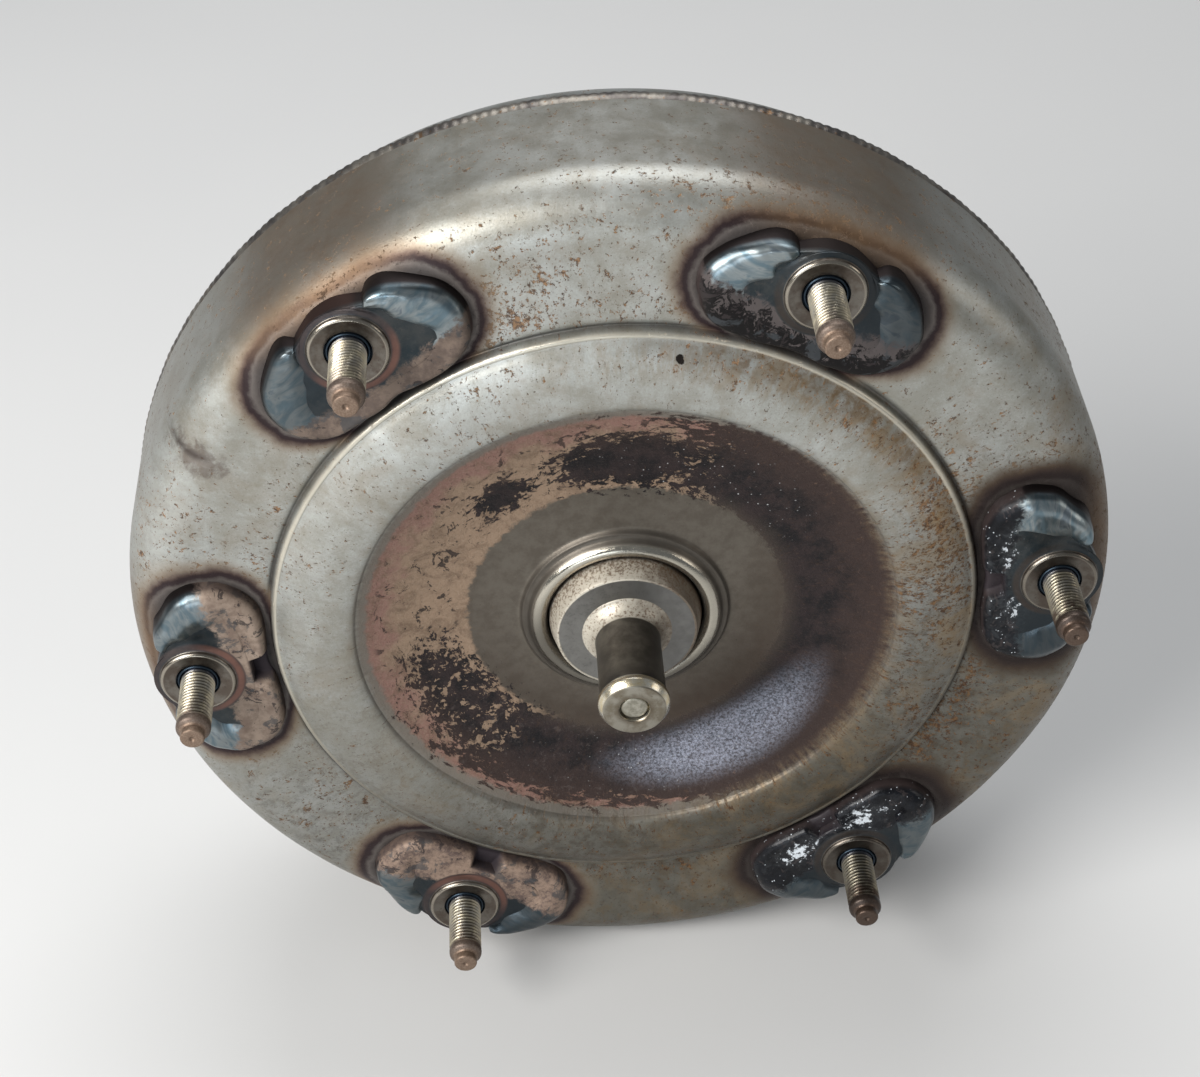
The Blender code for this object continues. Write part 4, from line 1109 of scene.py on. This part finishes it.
def weld_material():
    g = Graph("seam_bead")
    g.radius, g.theta = g.polar()
    mottle, fine = g.noise(0.14, 5, 0.6), g.noise(1.2, 4, 0.6)
    colour = g.coats(
        (0.10, 0.09, 0.085),
        (mottle.between(0.35, 0.65), (0.25, 0.23, 0.20)),
        (rust_specks(g, 0.6) * 0.8, RUST))
    return g.finish(colour, 0.85, 0.32 + mottle * 0.15, g.relief((fine, 0.05)))


def beaded_ring(name, path_r, path_y, width, height, tilt_deg, ripple, seed, material):
    """A weld bead that runs round the axis, with overlapping scallops."""
    cos_t, sin_t = cos(radians(tilt_deg)), sin(radians(tilt_deg))
    section = [(width * cos(a), height * sin(a)) for a in np.linspace(0, 2 * pi, 17)[:-1]]
    profile = [(path_r + c * cos_t - s * sin_t, path_y + c * sin_t + s * cos_t) for c, s in reversed(section)]
    count = round(2 * pi * path_r / ripple)

    def scallop(verts):
        verts = verts.copy()
        theta = np.arctan2(verts[:, 2], verts[:, 0])
        radius = np.hypot(verts[:, 0], verts[:, 2])
        sideways = (radius - path_r) * cos_t + (verts[:, 1] - path_y) * sin_t
        wave = np.abs(np.sin(theta * count / 2 + 0.7 * (sideways / width) ** 2)) - 0.6
        grow = 1 + 0.10 * wave + 0.05 * lumps(verts, 25.0, seed)
        verts[:, [0, 2]] *= ((path_r + (radius - path_r) * grow) / radius)[:, None]
        verts[:, 1] = path_y + (verts[:, 1] - path_y) * grow
        return verts

    return turned(name, profile, 1440, material, scallop, sharp_deg=70)


def make_rear():
    make_shell()
    material = weld_material()
    seam = beaded_ring("closing_weld", COVER_R - 2.2, COVER_REAR_Y + 1.6, 3.4, 2.0, 62, 2.7, 11, material)
    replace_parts(seam, "seam_weld")
    beaded_ring("hub_weld", 46.6, 78.9, 2.6, 1.3, 10, 2.4, 12, material)


# ---- damper springs ----

SPRING_PATH_R, SPRING_PATH_Y = 108.0, 24.5
SPRING_COUNT, SPRING_SPAN_DEG = 6, 52.5
COIL_R, WIRE_R, COIL_TURNS = 3.85, 1.15, 14
STEPS_PER_TURN, WIRE_SIDES = 16, 10


def make_damper_spring(index, material):
    """Coil spring on the damper's arc."""
    middle = 2 * pi * (index - 0.5) / SPRING_COUNT
    share = np.linspace(0, 1, STEPS_PER_TURN * COIL_TURNS + 1)
    around = middle + radians(SPRING_SPAN_DEG) * (share - 0.5 - 0.05 * np.sin(2 * pi * share))
    twist = 2 * pi * COIL_TURNS * share
    outward = np.stack([np.cos(around), np.zeros(len(share)), np.sin(around)], 1)
    from_coil = outward * np.cos(twist)[:, None] + np.outer(np.sin(twist), [0, 1, 0])
    path = outward * SPRING_PATH_R + from_coil * COIL_R + np.array([0, SPRING_PATH_Y, 0])
    tangent = np.gradient(path, axis=0)
    sideways = np.cross(tangent / np.linalg.norm(tangent, axis=1)[:, None], from_coil)
    sides = np.linspace(0, 2 * pi, WIRE_SIDES + 1)[:-1]
    verts = [path[i] + WIRE_R * (cos(a) * from_coil[i] + sin(a) * sideways[i])
             for i in range(len(path)) for a in sides]
    faces = grid_faces(len(path), WIRE_SIDES)
    faces += [tuple(range(WIRE_SIDES)), tuple(reversed(range(len(verts) - WIRE_SIDES, len(verts))))]
    name = f"damper_coil_{index}"
    spring = mesh_object(name, verts, faces, material, body="damper")
    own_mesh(spring)
    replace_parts(spring, f"damper_spring_{index}")


# ---- pieces kept from the frame ----

def plain_metal(name, light, dark, roughness, cloud_scale=0.2, brushed=0.0):
    """Metal with cloudy tone, fine grain and, if brushed, marks that run round the axis."""
    g = Graph(name)
    radius, theta = g.polar()
    cloud, grain = g.noise(cloud_scale, 4, 0.6), g.noise(2.2, 4, 0.6)
    colour = g.mix(cloud.between(0.35, 0.65), dark, light)
    marks = g.noise(1.0, 3, at=g.vector(radius * 3.0, g.y * 3.0, theta * 0.004))
    relief = g.relief((grain, 0.03), (marks, 0.02 * brushed + 0.001))
    return g.finish(colour, 0.95, roughness + (cloud - 0.5) * 0.12 + marks * 0.1 * brushed, relief)


def friction_material():
    g = Graph("friction_paper")
    fibres = g.noise(1.5, 6, 0.75)
    colour = g.mix(fibres.between(0.3, 0.7), (0.16, 0.11, 0.07), (0.30, 0.22, 0.14))
    return g.finish(colour, 0.0, 0.80 + fibres * 0.15, g.relief((fibres, 0.12)))


def rubber_material():
    g = Graph("seal_rubber")
    dust = g.noise(0.8, 4)
    colour = g.mix(dust.between(0.4, 0.8), (0.018, 0.018, 0.018), (0.05, 0.048, 0.045))
    return g.finish(colour, 0.0, 0.50 + dust * 0.2, g.relief((dust, 0.05)))


def hub_material():
    g = Graph("hub_ground_steel")
    radius, theta = g.polar()
    turning = g.noise(1.0, 3, at=g.vector(radius * 4.0, g.y * 4.0, theta * 0.004))
    patches = g.noise(0.08, 4, 0.6)
    colour = g.coats(
        (0.50, 0.50, 0.49),
        (turning.between(0.3, 0.7), (0.64, 0.64, 0.62)),
        (patches.between(0.55, 0.72) * 0.5, (0.33, 0.28, 0.21)),
        (g.y.between(84.0, 76.0) * 0.75, (0.12, 0.105, 0.10)))
    return g.finish(colour, 0.95, 0.20 + turning * 0.12 + patches * 0.08, g.relief((turning, 0.02)))


def dress(nodes, material):
    for node in nodes:
        slots = frame["nodes"][node].data.materials
        slots.clear()
        slots.append(material)


def dress_frame_nodes():
    """Materials for the nodes that stay in sight. The rest are covered by pieces with their own."""
    polished = plain_metal("machined_steel", (0.60, 0.60, 0.59), (0.50, 0.49, 0.47), 0.20, brushed=1.0)
    spring_steel = plain_metal("spring_steel", (0.34, 0.35, 0.38), (0.22, 0.22, 0.24), 0.26, 0.4)
    materials = {
        "machined_steel": polished,
        "pressed_steel": plain_metal("pressed_steel", (0.44, 0.43, 0.41), (0.30, 0.29, 0.27), 0.34),
        "spring_steel": spring_steel,
        "cast_aluminium": plain_metal("cast_aluminium", (0.70, 0.70, 0.69), (0.58, 0.58, 0.57), 0.40, 0.5),
        "friction_paper": friction_material(),
        "seal_rubber": rubber_material(),
    }
    for row in frame["record"]["subparts"]:
        if row["material_slot"] in materials:
            dress([row["node"]], materials[row["material_slot"]])
    for index in range(1, SPRING_COUNT + 1):
        make_damper_spring(index, spring_steel)
    dress(["impeller_hub"], hub_material())
    weight_steel = plain_metal("weight_steel", (0.25, 0.24, 0.22), (0.13, 0.12, 0.105), 0.42)
    dress(["balance_weight_1", "balance_weight_2"], weight_steel)


# ---- studio ----

CAMERA_AT = Vector((-0.0366, -0.5141, 0.4617))
CAMERA_YAW_DEG, CAMERA_PITCH_DEG, CAMERA_LENS = 3.2, 39.6, 72.0
FLOOR_HALF, FLOOR_GAP = 4.0, 0.0004
DAYLIGHT, WARM = (0.86, 0.93, 1.0), (1.0, 0.93, 0.85)


def make_camera():
    camera = bpy.data.objects.new("camera", bpy.data.cameras.new("camera"))
    bpy.context.scene.collection.objects.link(camera)
    camera.data.lens = CAMERA_LENS
    camera.data.sensor_width = 36.0
    camera.location = CAMERA_AT
    camera.rotation_euler = (radians(90 - CAMERA_PITCH_DEG), 0, -radians(CAMERA_YAW_DEG))
    bpy.context.scene.camera = camera


def make_floor():
    height = -COVER_R * MM - FLOOR_GAP
    corners = [(x * FLOOR_HALF, y * FLOOR_HALF, height) for x, y in ((-1, -1), (1, -1), (1, 1), (-1, 1))]
    mesh = bpy.data.meshes.new("floor")
    mesh.from_pydata(corners, [], [(0, 1, 2, 3)])
    floor = bpy.data.objects.new("floor", mesh)
    bpy.context.scene.collection.objects.link(floor)
    g = Graph("floor_paint")
    colour = g.mix(g.noise(0.004, 3), (0.60, 0.60, 0.60), (0.64, 0.64, 0.635))
    mesh.materials.append(g.finish(colour, 0.0, 0.65))


def add_light(name, direction, distance, size, power, colour=(1.0, 1.0, 1.0)):
    data = bpy.data.lights.new(name, "AREA")
    data.shape = "RECTANGLE"
    data.size, data.size_y = size
    data.energy = power
    data.color = colour
    light = bpy.data.objects.new(name, data)
    bpy.context.scene.collection.objects.link(light)
    direction = Vector(direction).normalized()
    light.location = direction * distance
    light.rotation_euler = direction.to_track_quat("Z", "Y").to_euler()


def make_lights():
    world = bpy.data.worlds.new("studio")
    world.use_nodes = True
    background = world.node_tree.nodes["Background"]
    background.inputs["Color"].default_value = (*DAYLIGHT, 1.0)
    background.inputs["Strength"].default_value = 0.20
    bpy.context.scene.world = world
    bpy.context.scene.view_settings.view_transform = "Standard"
    add_light("key", (-0.95, -0.75, 0.85), 1.5, (0.9, 0.9), 32, (1.0, 0.985, 0.96))
    add_light("front", (-0.28, -1.0, 0.10), 1.5, (0.7, 0.35), 4, DAYLIGHT)
    add_light("top", (0.05, 0.45, 1.0), 1.7, (1.4, 0.9), 16)
    add_light("right", (1.0, -0.30, 0.40), 1.8, (0.6, 0.6), 2.5, WARM)


make_camera()
make_floor()
make_lights()
dress_frame_nodes()
make_cover()
make_pilot()
make_pads()
make_rear()
